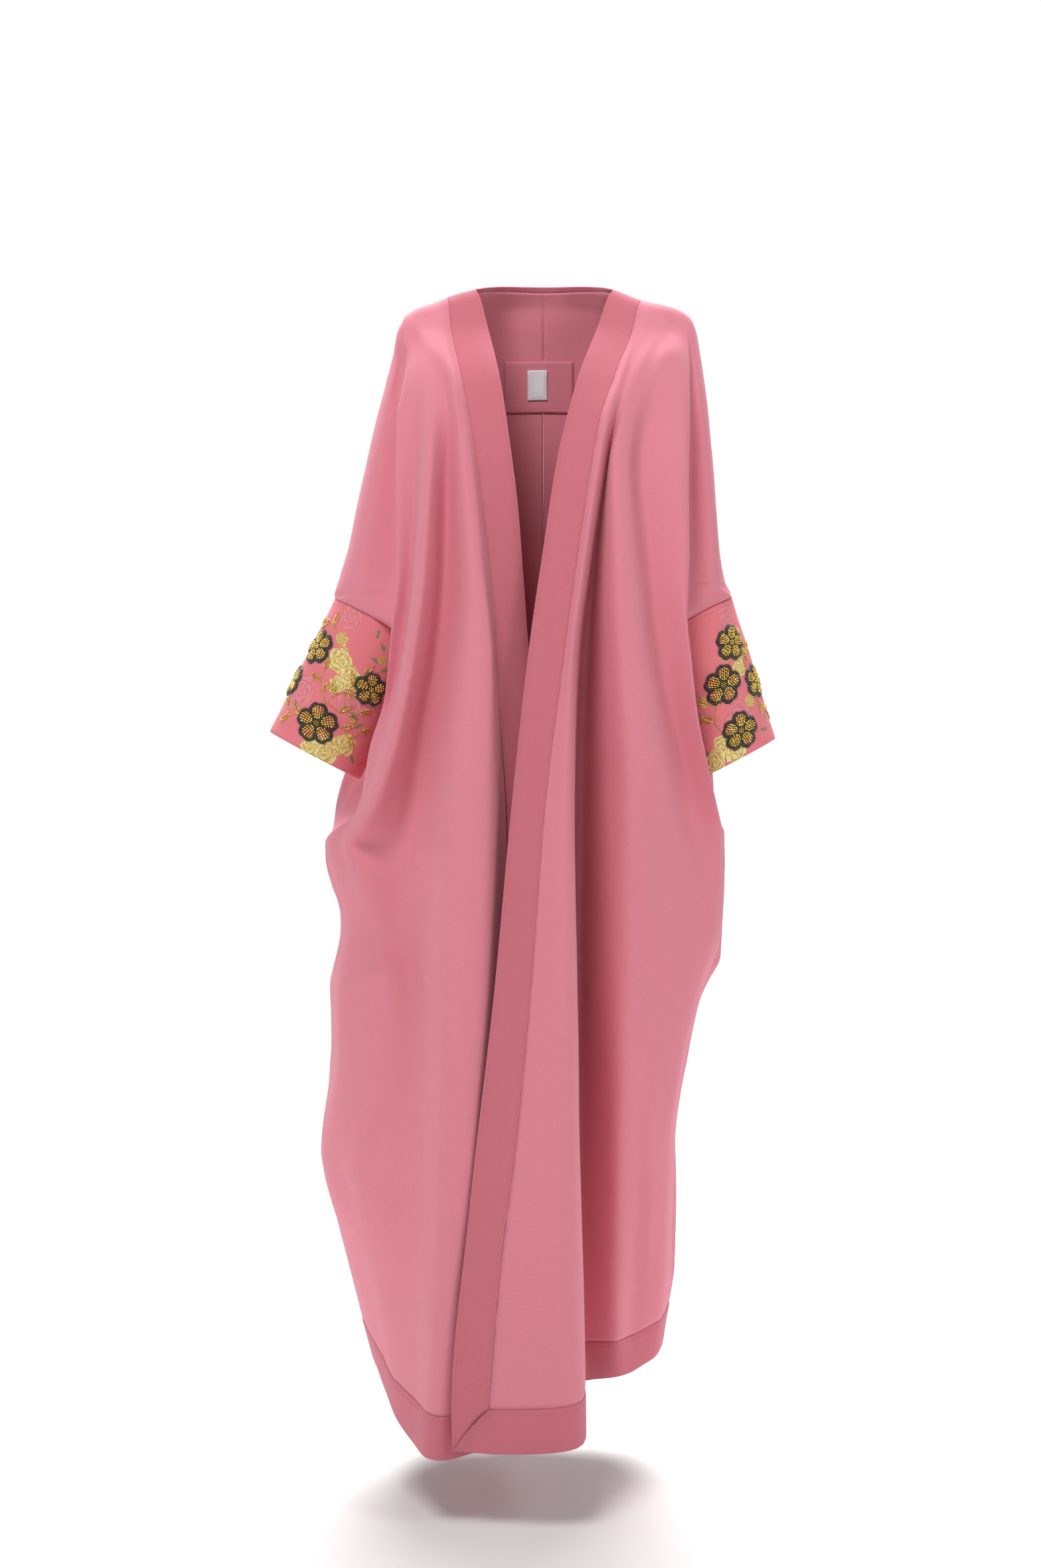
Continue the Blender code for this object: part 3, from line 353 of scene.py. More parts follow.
# Slow unevenness of hanging cloth: height in mm and length in mm, for panels, bands and cuffs
UNEVEN = {"panel": (1.5, 95.0), "band": (0.9, 60.0), "cuff": (1.1, 46.0)}

# Small puckers that the stitching draws in: height, spacing and reach from the seam
PUCKER = (0.55, 17.0, 20.0)

# Printed roses on the cuffs. Columns: degrees round, mm along, radius, colour name
ROSES = {
    "right": ((70, 64, 17, "cream"), (92, 78, 15, "cream"), (80, 92, 12, "cream"),
              (104, 168, 19, "cream"), (122, 152, 15, "cream"), (84, 172, 13, "cream"),
              (60, 40, 9, "yellow"), (128, 30, 6, "amber"), (140, 38, 7, "amber"),
              (118, 40, 6, "amber"), (152, 48, 6, "amber"), (10, 70, 12, "cream"),
              (205, 70, 17, "cream"), (225, 84, 14, "cream"), (235, 160, 17, "cream"),
              (40, 118, 21, "tonal"), (106, 104, 20, "tonal"), (20, 140, 17, "tonal"),
              (150, 90, 18, "tonal"), (60, 12, 16, "tonal"), (262, 110, 20, "tonal"),
              (190, 150, 19, "tonal"), (180, 24, 16, "tonal")),
    "left": ((40, 64, 12, "cream"), (58, 60, 9, "yellow"), (46, 82, 11, "cream"),
             (118, 34, 6, "amber"), (104, 100, 7, "yellow"), (44, 124, 8, "yellow"),
             (96, 158, 15, "cream"), (112, 172, 16, "cream"), (84, 170, 15, "cream"),
             (210, 80, 16, "cream"), (230, 96, 14, "cream"), (244, 160, 17, "cream"),
             (66, 138, 21, "tonal"), (120, 90, 17, "tonal"), (40, 20, 16, "tonal"),
             (128, 138, 15, "tonal"), (262, 120, 20, "tonal"), (190, 140, 18, "tonal"),
             (14, 96, 16, "tonal")),
}

# Printed leaves. Columns: degrees round, mm along, length, turn in degrees
PRINTED_LEAVES = {
    "right": ((112, 26, 14, 40), (134, 22, 13, -30), (146, 30, 15, 80), (108, 44, 13, 10),
              (126, 50, 15, -50), (140, 58, 14, 60), (156, 62, 12, -10), (98, 14, 11, 70),
              (118, 116, 15, 20), (128, 124, 13, -60), (40, 136, 12, 30), (62, 152, 13, -35),
              (140, 164, 14, 50), (212, 52, 15, 30), (232, 64, 14, -40), (248, 140, 14, 60)),
    "left": ((124, 24, 11, 30), (110, 24, 11, -40), (70, 78, 12, 50), (62, 96, 14, -30),
             (116, 112, 12, 20), (56, 150, 14, 45), (36, 164, 15, -20), (24, 150, 13, 60),
             (120, 158, 12, -50), (216, 60, 15, 20), (238, 76, 14, -50), (256, 144, 14, 40)),
}
PRINT_COLOURS = {
    "cream": ((0.88, 0.76, 0.36), (0.50, 0.36, 0.05)),
    "yellow": ((0.83, 0.66, 0.20), (0.42, 0.24, 0.04)),
    "amber": ((0.80, 0.48, 0.16), (0.45, 0.16, 0.04)),
    "tonal": ((0.83, 0.33, 0.36), (0.60, 0.15, 0.18)),
}
LEAF_COLOURS = ((0.30, 0.27, 0.15), (0.16, 0.15, 0.09))

# Beaded flowers. Columns: degrees round, distance below the cuff seam, width
FLOWERS = {
    "right": ((35, 62, 44), (12, 112, 40), (80, 145, 48), (118, 78, 40), (200, 120, 42),
              (255, 60, 46), (300, 130, 44)),
    "left": ((50, 50, 42), (76, 92, 46), (26, 106, 40), (72, 152, 44), (190, 62, 42),
             (250, 115, 46), (312, 66, 42)),
}

# Beaded branches: places as degrees round and mm along, with a leaf at each but the first
BRANCHES = {
    "right": (((50, 36), (44, 30), (30, 26), (14, 28)),
              ((80, 120), (84, 106), (92, 96), (98, 84), (104, 66)),
              ((80, 120), (70, 108), (62, 98), (60, 82)),
              ((84, 118), (96, 120), (108, 118), (118, 110)),
              ((66, 150), (54, 146), (42, 152), (30, 142)),
              ((96, 138), (108, 136), (120, 142), (130, 132)),
              ((214, 104), (226, 96), (238, 104), (246, 90)),
              ((270, 84), (280, 96), (276, 112), (264, 124)),
              ((186, 100), (176, 88), (166, 94), (158, 80)),
              ((312, 104), (320, 88), (332, 78), (340, 62))),
    "left": (((94, 140), (98, 126), (92, 112), (102, 102)),
             ((92, 126), (108, 124), (122, 116), (130, 104)),
             ((40, 84), (30, 78), (24, 66), (28, 52)),
             ((40, 122), (30, 130), (20, 142), (10, 148)),
             ((204, 82), (214, 96), (206, 110), (216, 124)),
             ((264, 92), (274, 78), (268, 64), (278, 52)),
             ((176, 84), (166, 98), (172, 112), (162, 124)),
             ((318, 90), (326, 106), (320, 122), (330, 138))),
}

# Stage: floor height, and soft boxes as name, place, aim, width and power
FLOOR_HEIGHT = -1.45
SOFT_BOXES = (
    ("soft_box_front", (-0.7, -1.9, 1.5), (0.0, 0.0, -0.15), 1.1, 46.0),
    ("soft_box_left", (1.9, -1.7, 0.9), (0.0, 0.0, -0.25), 0.9, 13.0),
    ("soft_box_overhead", (0.0, 1.7, 1.9), (0.0, 1.0, -1.45), 2.6, 230.0),
)

MATERIALS, GROUPS, PANELS, SHAPES = {}, {}, {}, {}


# Shape of the cloth


def eased(places, values, at):
    """Smooth curve through the rows of a table, without overshoot between them."""
    step = np.diff(places)
    slope = np.diff(values) / step
    tangent = np.zeros(len(places))
    tangent[0], tangent[-1] = slope[0], slope[-1]
    same_way = slope[:-1] * slope[1:] > 0
    tangent[1:-1][same_way] = 2.0 / (1.0 / slope[:-1][same_way] + 1.0 / slope[1:][same_way])
    cell = np.clip(np.searchsorted(places, at, side="right") - 1, 0, len(step) - 1)
    f = (at - places[cell]) / step[cell]
    near = (1 + 2 * f) * (1 - f) ** 2 * values[cell] + f * (1 - f) ** 2 * step[cell] * tangent[cell]
    far = f ** 2 * (3 - 2 * f) * values[cell + 1] - f ** 2 * (1 - f) * step[cell] * tangent[cell + 1]
    return near + far


def across(lines, at):
    """Smooth curve through the lines of each section, level at the centre back."""
    ghost = lines[:, -2:-1] * np.array([-1.0, 1.0, 1.0])
    chord = np.diff(np.concatenate([lines, ghost], axis=1), axis=1)
    step = np.sqrt(np.linalg.norm(chord, axis=2, keepdims=True)) + 1e-6
    slope = chord / step
    inner = (slope[:, 1:] * step[:, :-1] + slope[:, :-1] * step[:, 1:]) / (step[:, 1:] + step[:, :-1])
    tangent = np.concatenate([slope[:, :1], inner, slope[:, -1:]], axis=1)
    at = np.asarray(at)
    cell = np.minimum(at.astype(int), lines.shape[1] - 2)
    f = (at - cell)[None, :, None]
    h = step[:, cell]
    near = (1 + 2 * f) * (1 - f) ** 2 * lines[:, cell] + f * (1 - f) ** 2 * h * tangent[:, cell]
    far = f ** 2 * (3 - 2 * f) * lines[:, cell + 1] - f ** 2 * (1 - f) * h * tangent[:, cell + 1]
    return near + far


def shoulder_height(side, out):
    places, heights = np.array(SHOULDER[side], float).T
    return float(eased(places, heights, np.array([float(out)]))[0])


def line_table(side, name):
    """Rows of one line from its top to the hem edge: height, distance out, depth."""
    table = list(SIDES[side][1][name])
    starts = dict(SHOULDER_START)
    if name in starts:
        table.insert(0, (shoulder_height(side, starts[name]), starts[name], 0.0))
    if name == "outer_seam":
        out, height = SHOULDER[side][-1]
        table.insert(0, (height, out, 0.0))
    return np.array(table, float)


def line_points(side, name, heights):
    """Points of one line; the square root of the drop keeps the shoulder round."""
    table = line_table(side, name)
    drop = np.sqrt(table[0, 0] - table[:, 0])
    at = np.sqrt(np.maximum(table[0, 0] - heights, 0.0))
    out, depth = eased(drop, table[:, 1], at), eased(drop, table[:, 2], at)
    return np.stack([SIDES[side][0] * out, depth, heights], axis=1)


def ring_point(side, turn, along=0.0, scale=1.0):
    """Point of a cuff: turn in radians from the outer side towards the front."""
    out, height, slope, lean = RINGS[side]
    slope, lean = math.radians(slope), math.radians(lean)
    wide = RING_HALF_WIDTH * scale * math.cos(turn)
    x = out + wide * math.cos(slope) + along * math.sin(lean)
    z = height + wide * math.sin(slope) - along * math.cos(lean)
    return (SIDES[side][0] * x, -RING_HALF_DEPTH * scale * math.sin(turn), z)


def on_shoulder(side, grid, at):
    """Lays the first row of a grid on the shoulder line, as far as the neck side."""
    starts = dict(SHOULDER_START)
    outs = [starts.get(name, SHOULDER[side][-1][0]) for name in LINES[:NECK_SIDE + 1]]
    for column, place in enumerate(at):
        if place <= NECK_SIDE:
            out = float(np.interp(place, range(NECK_SIDE + 1), outs))
            grid[0, column] = (SIDES[side][0] * out, 0.0, shoulder_height(side, out))
    return grid


def refined(places, step):
    """The same run of places with more between them."""
    run = []
    for a, b in zip(places, places[1:]):
        parts = max(1, round(abs(b - a) / step))
        run += [a + (b - a) * k / parts for k in range(parts)]
    return run + [places[-1]]


def outer_heights(side):
    """Section heights at the outer seam, and the row where the cuff ring starts."""
    ring = [ring_point(side, math.pi * k / RING_STEPS)[2] for k in range(RING_STEPS + 1)]
    hem = line_table(side, "outer_seam")[-1, 0] + HEM_BAND
    arm = refined(ARM_HEIGHTS + (ring[0],), ROW_STEP)[:-1]
    below = refined((ring[-1],) + SIDE_HEIGHTS + (hem,), ROW_STEP)[1:]
    return np.array(arm + ring + below), len(arm)


def section_lines(side, back=False, mitred=False):
    """All lines of a half at each section: sections x lines x 3."""
    outer, first = outer_heights(side)
    share = (outer[0] - outer) / (outer[0] - outer[-1])
    columns = []
    for name in LINES:
        table = line_table(side, name)
        top, hem = table[0, 0], table[-1, 0] + HEM_BAND
        if mitred and name == "free_edge":
            hem = table[-1, 0]
        columns.append(line_points(side, name, top + (hem - top) * share))
    way = -1.0 if back else 1.0
    for k in range(RING_STEPS + 1):
        turn = way * math.pi * k / RING_STEPS
        columns[OUTER_SEAM][first + k] = ring_point(side, turn)
    columns[OUTER_SEAM][first + RING_STEPS][0] -= SIDES[side][0] * UNDERARM_EASE
    return np.stack(columns, axis=1)


def hem_lines(side, levels):
    """All lines of a half below the hem seam; levels run from 0 to 1 at the edge."""
    columns = []
    for name in LINES:
        seam = line_table(side, name)[-1, 0] + HEM_BAND
        columns.append(line_points(side, name, seam - HEM_BAND * np.asarray(levels)))
    return np.stack(columns, axis=1)


def inset(grid, sides, gap=SEAM_GAP / 2):
    """Draws the named borders of a grid back from the seam."""
    grid = grid.copy()
    borders = {"top": (grid[0], grid[1]), "bottom": (grid[-1], grid[-2]),
               "start": (grid[:, 0], grid[:, 1]), "end": (grid[:, -1], grid[:, -2])}
    for name in sides:
        edge, inner = borders[name]
        way = inner - edge
        length = np.maximum(np.linalg.norm(way, axis=-1, keepdims=True), 1e-6)
        edge += way / length * gap
    return grid


def neck_rows(side):
    """How many rows lie between the neck edge and the first height below it."""
    return int(np.argmin(np.abs(outer_heights(side)[0] - NECK_HEIGHT)))


def front_grid(side):
    return on_shoulder(side, across(section_lines(side), FRONT_COLUMNS), FRONT_COLUMNS)


def back_grid(side):
    """Back of one half; its neck edge lies below the binding."""
    grid = on_shoulder(side, across(section_lines(side, back=True), BACK_COLUMNS), BACK_COLUMNS)
    neck, rows = np.array(BACK_COLUMNS) >= BINDING_END, neck_rows(side)
    edge, way = grid[0, neck].copy(), grid[rows, neck] - grid[0, neck]
    length = np.linalg.norm(way, axis=1, keepdims=True)
    for row in range(rows + 1):
        below = NECK_BINDING + SEAM_GAP + (length - NECK_BINDING - SEAM_GAP) * row / rows
        grid[row, neck] = edge + way / length * below
    return grid


def band_grid(side):
    grid = across(section_lines(side, mitred=True), BAND_COLUMNS)
    return on_shoulder(side, grid, BAND_COLUMNS)


def hem_grid(side, columns, mitred=False):
    """Hem band below its seam; a mitred one starts on the slant of the front band's end."""
    levels = (0.0, 0.04, 0.12, 0.24, 0.4, 0.56, 0.72, 0.84, 0.92, 0.97, 1.0)
    lines = hem_lines(side, levels)
    rows = []
    for k, level in enumerate(levels):
        run = ((1.0 - level,) + tuple(columns[1:])) if mitred else columns
        rows.append(across(lines[k:k + 1], run)[0])
    return np.stack(rows)


def binding_grid():
    """Narrow binding along the back neck edge, from one band to the other."""
    halves = []
    for side in ("right", "left"):
        run = [place for place in BACK_COLUMNS if place >= BINDING_END]
        rows = across(section_lines(side, back=True), run)
        way = rows[neck_rows(side)] - rows[0]
        way /= np.linalg.norm(way, axis=1, keepdims=True)
        halves.append(np.stack([rows[0] + way * NECK_BINDING * k / 5 for k in range(6)]))
    return np.concatenate([halves[0], halves[1][:, -2::-1]], axis=1)


def outward(grid, way):
    """Unit normals of a grid of points, on the side that way points to."""
    normal = np.cross(np.gradient(grid, axis=1), np.gradient(grid, axis=0))
    normal /= np.maximum(np.linalg.norm(normal, axis=2, keepdims=True), 1e-9)
    if (normal @ np.array(way)).sum() < 0:
        normal = -normal
    return normal


def photo_places(grid):
    """Where the camera of the photograph sees each point, in its pixels."""
    scale = FOCAL_PIXELS / (grid[..., 1] - CAMERA_PLACE[1] / MM)
    across_frame = PHOTO_SIZE[0] / 2 + (grid[..., 0] - CAMERA_PLACE[0] / MM) * scale
    down_frame = PHOTO_SIZE[1] / 2 - (grid[..., 2] - CAMERA_PLACE[2] / MM) * scale
    return np.stack([across_frame, down_frame], axis=-1)


def smooth_run(points, count):
    """Places along a smooth curve through a few points."""
    run = np.asarray(points, float)
    run = np.vstack([2 * run[0] - run[1], run, 2 * run[-1] - run[-2]])
    at = np.linspace(0, len(run) - 3 - 1e-9, count)
    cell = at.astype(int)
    f = (at - cell)[:, None]
    a, b, c, d = run[cell], run[cell + 1], run[cell + 2], run[cell + 3]
    return 0.5 * (2 * b + (c - a) * f + (2 * a - 5 * b + 4 * c - d) * f ** 2
                  + (3 * b - a - 3 * c + d) * f ** 3)


def crease_rise(places, creases, unit):
    """Rise of the cloth by its listed creases; unit is the millimetres in one place unit."""
    total = np.zeros(places.shape[:-1])
    for rise, half_width, lean, points in creases:
        run = smooth_run(points, 40)
        margin = 3 * half_width / unit
        close = ((places > run.min(axis=0) - margin) & (places < run.max(axis=0) + margin)).all(-1)
        gap = places[close][:, None] - run
        distance = np.linalg.norm(gap, axis=-1)
        nearest = distance.argmin(axis=-1)
        reach = np.take_along_axis(distance, nearest[..., None], -1)[..., 0] * unit
        way = np.gradient(run, axis=0)[nearest]
        near_gap = np.take_along_axis(gap, nearest[..., None, None], -2)[..., 0, :]
        aside = np.sign(way[..., 0] * near_gap[..., 1] - way[..., 1] * near_gap[..., 0])
        along = nearest / 39.0
        fade = np.sin(np.pi * np.clip(along, 0, 1)) ** 0.7
        ratio = reach / half_width
        total[close] += rise * fade * np.exp(-ratio ** 2) * (1 + lean * aside * ratio)
    return total


def unevenness(grid, kind, seed):
    """Slow rise and fall of the cloth, longer down the garment than across it."""
    height, length = UNEVEN[kind]
    flat = grid.reshape(-1, 3)
    rise = [noise.noise(Vector((x / length, y / length + seed, z / (2.2 * length)))) * height
            + noise.noise(Vector((x / length * 2.7, y / length * 2.7, z / length + seed))) * height / 3
            for x, y, z in flat]
    return np.array(rise).reshape(grid.shape[:-1])


def border_fade(grid, reach, borders):
    """0 on the named borders, 1 further in than reach."""
    across_run = np.linalg.norm(np.diff(grid, axis=1), axis=2)
    down_run = np.linalg.norm(np.diff(grid, axis=0), axis=2)
    zero_column, zero_row = np.zeros((grid.shape[0], 1)), np.zeros((1, grid.shape[1]))
    from_start = np.concatenate([zero_column, np.cumsum(across_run, axis=1)], axis=1)
    from_top = np.concatenate([zero_row, np.cumsum(down_run, axis=0)], axis=0)
    gaps = {"start": from_start, "end": from_start[:, -1:] - from_start,
            "top": from_top, "bottom": from_top[-1:] - from_top}
    fade = np.ones(grid.shape[:2])
    for name in borders:
        f = np.clip(gaps[name] / reach, 0, 1)
        fade = np.minimum(fade, f * f * (3 - 2 * f))
    return fade, gaps


def seam_puckers(grid, gaps, borders, seed):
    """Small puckers beside a stitched seam, strongest on it and gone beyond their reach."""
    height, spacing, reach = PUCKER
    total = np.zeros(grid.shape[:2])
    for border in borders:
        run = gaps["top"] if border in ("start", "end") else gaps["start"]
        near = np.exp(-(gaps[border] / reach) ** 2)
        wave = [noise.noise(Vector((along / spacing, seed, aside / (4 * reach))))
                for along, aside in zip(run.ravel(), gaps[border].ravel())]
        total += height * near * np.array(wave).reshape(run.shape)
    return total


# Making pieces


def cloth_mesh(name, grid, slots):
    """A sheet through a grid of points in millimetres, with a map in metres of real cloth."""
    rows, columns = grid.shape[:2]
    bm = bmesh.new()
    bmesh.ops.create_grid(bm, x_segments=columns - 1, y_segments=rows - 1, size=0.5)
    middle = grid[:, columns // 2]
    wide = np.concatenate([[0], np.cumsum(np.linalg.norm(np.diff(grid, axis=1), axis=2).mean(0))])
    long = np.concatenate([[0], np.cumsum(np.linalg.norm(np.diff(middle, axis=0), axis=1))])
    flat_map = bm.loops.layers.uv.new("cloth")
    for vert in bm.verts:
        column = round((vert.co.x + 0.5) * (columns - 1))
        row = round((vert.co.y + 0.5) * (rows - 1))
        vert.co = grid[row, column] * MM
        for loop in vert.link_loops:
            loop[flat_map].uv = (wide[column] * MM, long[row] * MM)
    mesh = bpy.data.meshes.new(name)
    bm.to_mesh(mesh)
    bm.free()
    for material in slots:
        mesh.materials.append(material)
    mesh.shade_smooth()
    return mesh


def add_piece(name, mesh, node, wall=None):
    """Puts a piece in the scene; it rides on the body and stands for its CAD node."""
    piece = bpy.data.objects.new(name, mesh)
    bpy.context.scene.collection.objects.link(piece)
    if wall:
        solid = piece.modifiers.new("wall", "SOLIDIFY")
        solid.thickness = wall * MM
        solid.offset = 0.0
        solid.use_even_offset = False
    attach(piece, "root")
    if node:
        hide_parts(node)
    return piece


def clear_of_overarm(grid, outer, way, rows):
    """Keeps the shoulder row and the overarm column on their own side of the seam."""
    grid[0, :, 1] = way * np.maximum(way * grid[0, :, 1], SHOULDER_GAP)
    outer[:rows, 1] = way * SHOULDER_GAP


def make_panels(side, cloth):
    """Front and back of one half, cut in one with their sleeves."""
    arm_rows = outer_heights(side)[1]
    borders = ("top", "bottom", "start", "end")
    for face, grid, way in (("front", front_grid(side), -1.0), ("back", back_grid(side), 1.0)):
        fade, gaps = border_fade(grid, 26.0, ("top", "end") if face == "front" else ("top", "start"))
        seam_fade = border_fade(grid, 7.0, borders)[0]
        if face == "front":
            rise = crease_rise(photo_places(grid), FRONT_CREASES[side], 0.82)
        else:
            rise = crease_rise(grid[..., [0, 2]], BACK_CREASES[side], 1.0)
        rise += unevenness(grid, "panel", 3.0 * way + (7.0 if side == "left" else 0.0))
        rise = rise * fade * seam_fade - 0.7 * (1 - seam_fade)
        rise += seam_puckers(grid, gaps, ("start", "bottom", "end"), 5.0 * way) * fade
        grid = grid + outward(grid, (0, way, 0)) * rise[..., None]
        grid = inset(grid, borders)
        outer = grid[:, -1] if face == "front" else grid[:, 0]
        clear_of_overarm(grid, outer, way, arm_rows)
        if face == "back":
            PANELS[side] = grid
        node = f"{face}_{side}"
        mesh = cloth_mesh(f"{side}_{face}", grid, [cloth])
        piece = add_piece(f"{side}_{face}", mesh, node, CLOTH_WALL)


def make_band(side, cloth):
    """Front band, doubled cloth: a soft fold on its free edge and a ditch at its seam."""
    grid = band_grid(side)
    fade, gaps = border_fade(grid, 9.0, ("start", "end", "top", "bottom"))
    rise = unevenness(grid, "band", 11.0) * fade - 0.6 * (1 - fade)
    rise += seam_puckers(grid, gaps, ("end", "start"), 21.0) * border_fade(grid, 20.0, ("top",))[0]
    grid = grid + outward(grid, (0, -1, 0)) * rise[..., None]
    grid = inset(grid, ("top", "bottom", "end"))
    mesh = cloth_mesh(f"{side}_band", grid, [cloth])
    piece = add_piece(f"{side}_band", mesh, f"band_{side}", BAND_WALL)
    make_stitching(f"{side}_band_stitching", [grid[:, BAND_COLUMNS.index(0.94)],
                                              grid[:, BAND_COLUMNS.index(0.09)]],
                   grid, (0, -1, 0))


def make_hems(side, cloth):
    """Hem bands of one half; the front one starts on the mitre."""
    for face, columns, way in (("front", FRONT_COLUMNS, -1.0), ("back", BACK_COLUMNS, 1.0)):
        grid = hem_grid(side, columns, mitred=face == "front")
        fade = border_fade(grid, 7.0, ("top", "bottom"))[0]
        grid = grid + outward(grid, (0, way, 0)) * (-0.6 * (1 - fade))[..., None]
        grid = inset(grid, ("top", "start", "end"))
        node = f"hem_{face}_{side}"
        mesh = cloth_mesh(f"{side}_{face}_hem", grid, [cloth])
        piece = add_piece(f"{side}_{face}_hem", mesh, node, BAND_WALL)
        make_stitching(f"{side}_{face}_hem_stitching", [grid[2]], grid, (0, way, 0))


def cuff_rise(turn, along):
    """Softly dented cuff: rise of its cloth in millimetres."""
    height, length = UNEVEN["cuff"]
    place = Vector((math.cos(turn) * RING_RADIUS / length, math.sin(turn) * RING_RADIUS / length,
                    along / length))
    edge = max(0.0, 1 - (CUFF_LENGTH - along) / 6.0)
    return height * noise.noise(place) - 0.7 * edge ** 2


def cuff_place(side, turn, along, lift=0.0):
    scale = 1.0 + (cuff_rise(turn, along) + lift) / RING_RADIUS
    return np.array(ring_point(side, turn, along, scale))


def make_cuff(side, cloth):
    """Woven cuff, a tube closed by its seam on the hidden back side."""
    turns = np.radians(np.linspace(-90, 270, 145))
    lengths = np.linspace(SEAM_GAP, CUFF_LENGTH, 60)
    grid = np.array([[cuff_place(side, turn, along) for turn in turns] for along in lengths])
    mesh = cloth_mesh(f"{side}_cuff", grid, [cloth])
    bm = bmesh.new()
    bm.from_mesh(mesh)
    flat_map = bm.loops.layers.uv["cloth"]
    for vert in bm.verts:
        for loop in vert.link_loops:
            u = round(loop[flat_map].uv.x / max(1e-9, flat_width(grid)) * 144) / 144
            loop[flat_map].uv.x = (u * 360 - 90) * math.pi / 180 * RING_RADIUS * MM
    bmesh.ops.remove_doubles(bm, verts=bm.verts, dist=1e-6)
    bm.to_mesh(mesh)
    bm.free()
    piece = add_piece(f"{side}_cuff", mesh, f"cuff_{side}", CUFF_WALL)
    make_stitching(f"{side}_cuff_stitching", [grid[53], grid[2]], grid, None)


def flat_width(grid):
    return np.linalg.norm(np.diff(grid, axis=1), axis=2).mean(0).sum() * MM


def small_shape(kind):
    """The few-faced ball that every bead or stitch of a kind is a copy of."""
    if kind not in SHAPES:
        bm = bmesh.new()
        bmesh.ops.create_uvsphere(bm, u_segments=kind[0], v_segments=kind[1], radius=1.0)
        SHAPES[kind] = bpy.data.meshes.new("small_shape")
        bm.to_mesh(SHAPES[kind])
        bm.free()
    return SHAPES[kind]


def gathered(name, kind, places, materials, finishes=None):
    """One mesh of many small shapes; each place is a matrix in millimetres."""
    shape = small_shape(kind)
    bm = bmesh.new()
    for _ in places:
        bm.from_mesh(shape)
    mesh = bpy.data.meshes.new(name)
    bm.to_mesh(mesh)
    bm.free()
    points = np.empty(len(shape.vertices) * 3)
    shape.vertices.foreach_get("co", points)
    turned = np.array([np.array(place)[:3] for place in places])
    points = np.einsum("nij,vj->nvi", turned[:, :, :3], points.reshape(-1, 3))
    points = (points + turned[:, None, :, 3]) * MM
    mesh.vertices.foreach_set("co", points.ravel())
    if finishes:
        mesh.polygons.foreach_set("material_index", np.repeat(finishes, len(shape.polygons)))
    for material in materials:
        mesh.materials.append(material)
    mesh.shade_smooth()
    mesh.update()
    return mesh


def make_stitching(name, lines, grid, way, wall=BAND_WALL):
    """Small thread stitches that lie on the cloth along lines of its grid."""
    step, length, thick = 4.0, 2.9, 0.42
    if way is None:
        centre = grid.mean(axis=(0, 1))
        normals = outward(grid, (0, 0, 0))
        if ((grid - centre) * normals).sum() < 0:
            normals = -normals
    else:
        normals = outward(grid, way)
    flat, flat_normals = grid.reshape(-1, 3), normals.reshape(-1, 3)
    places = []
    for line in lines:
        run = np.concatenate([[0], np.cumsum(np.linalg.norm(np.diff(line, axis=0), axis=1))])
        at = np.arange(step, run[-1] - step, step)
        points = np.stack([np.interp(at, run, line[:, k]) for k in range(3)], axis=1)
        ahead = np.stack([np.interp(at + 1, run, line[:, k]) for k in range(3)], axis=1)
        up = flat_normals[[np.abs(flat - p).sum(axis=1).argmin() for p in line]]
        ups = np.stack([np.interp(at, run, up[:, k]) for k in range(3)], axis=1)
        for point, forward, lift in zip(points, ahead - points, ups):
            x = Vector(forward).normalized()
            y = Vector(lift).cross(x).normalized()
            z = x.cross(y)
            centre = Vector(point) + z * (wall / 2 + thick * 0.1)
            places.append(Matrix.Translation(centre) @ Matrix((x, y, z)).transposed().to_4x4()
                          @ Matrix.Diagonal((length / 2, thick / 2, thick / 2, 1)))
    mesh = gathered(name, (4, 4), places, [MATERIALS["thread"]])
    add_piece(name, mesh, None)


def depth_on(backs, x, z):
    """Depth of the back panels at a place near the centre back."""
    grid = backs["left" if x >= 0 else "right"]
    near = grid[:, BACK_COLUMNS.index(15.5):]
    profile = []
    for row in near[::3]:
        run = row[np.argsort(row[:, 0])]
        if z - 60 < run[:, 2].mean() < z + 60:
            profile.append([np.interp(x, run[:, 0], run[:, 1]), np.interp(x, run[:, 0], run[:, 2])])
    depths, heights = np.array(profile[::-1]).T
    return float(np.interp(z, heights, depths))


def make_on_back(name, node, size, centre, lift, backs, material, wave):
    """A small piece sewn on the inside of the back: it follows the panel and stands clear of it."""
    xs = centre[0] + np.linspace(-0.5, 0.5, 25) * size[0]
    zs = centre[1] - np.linspace(-0.5, 0.5, 21) * size[1]
    grid = np.array([[(x, depth_on(backs, x, z) - lift, z) for x in xs] for z in zs])
    across_piece, down_piece = np.meshgrid(np.linspace(-1, 1, 25), np.linspace(-1, 1, 21))
    inner = (1 - across_piece ** 6) * (1 - down_piece ** 6)
    grid[..., 1] -= wave * inner * (0.6 + 0.4 * np.sin(3 * across_piece + 2 * down_piece))
    mesh = cloth_mesh(name, grid, [material])
    piece = add_piece(name, mesh, node, TRIM_WALL)
    edge = [grid[2, 1:-1], grid[-3, 1:-1], grid[1:-1, 1], grid[1:-1, -2]]
    make_stitching(name + "_stitching", edge, grid, (0, -1, 0), TRIM_WALL)


def make_binding(cloth):
    grid = inset(binding_grid(), ("start", "end"), 1.0)
    mesh = cloth_mesh("back_neck_binding", grid, [cloth])
    piece = add_piece("back_neck_binding", mesh, "neck_binding", BAND_WALL)


# Beadwork


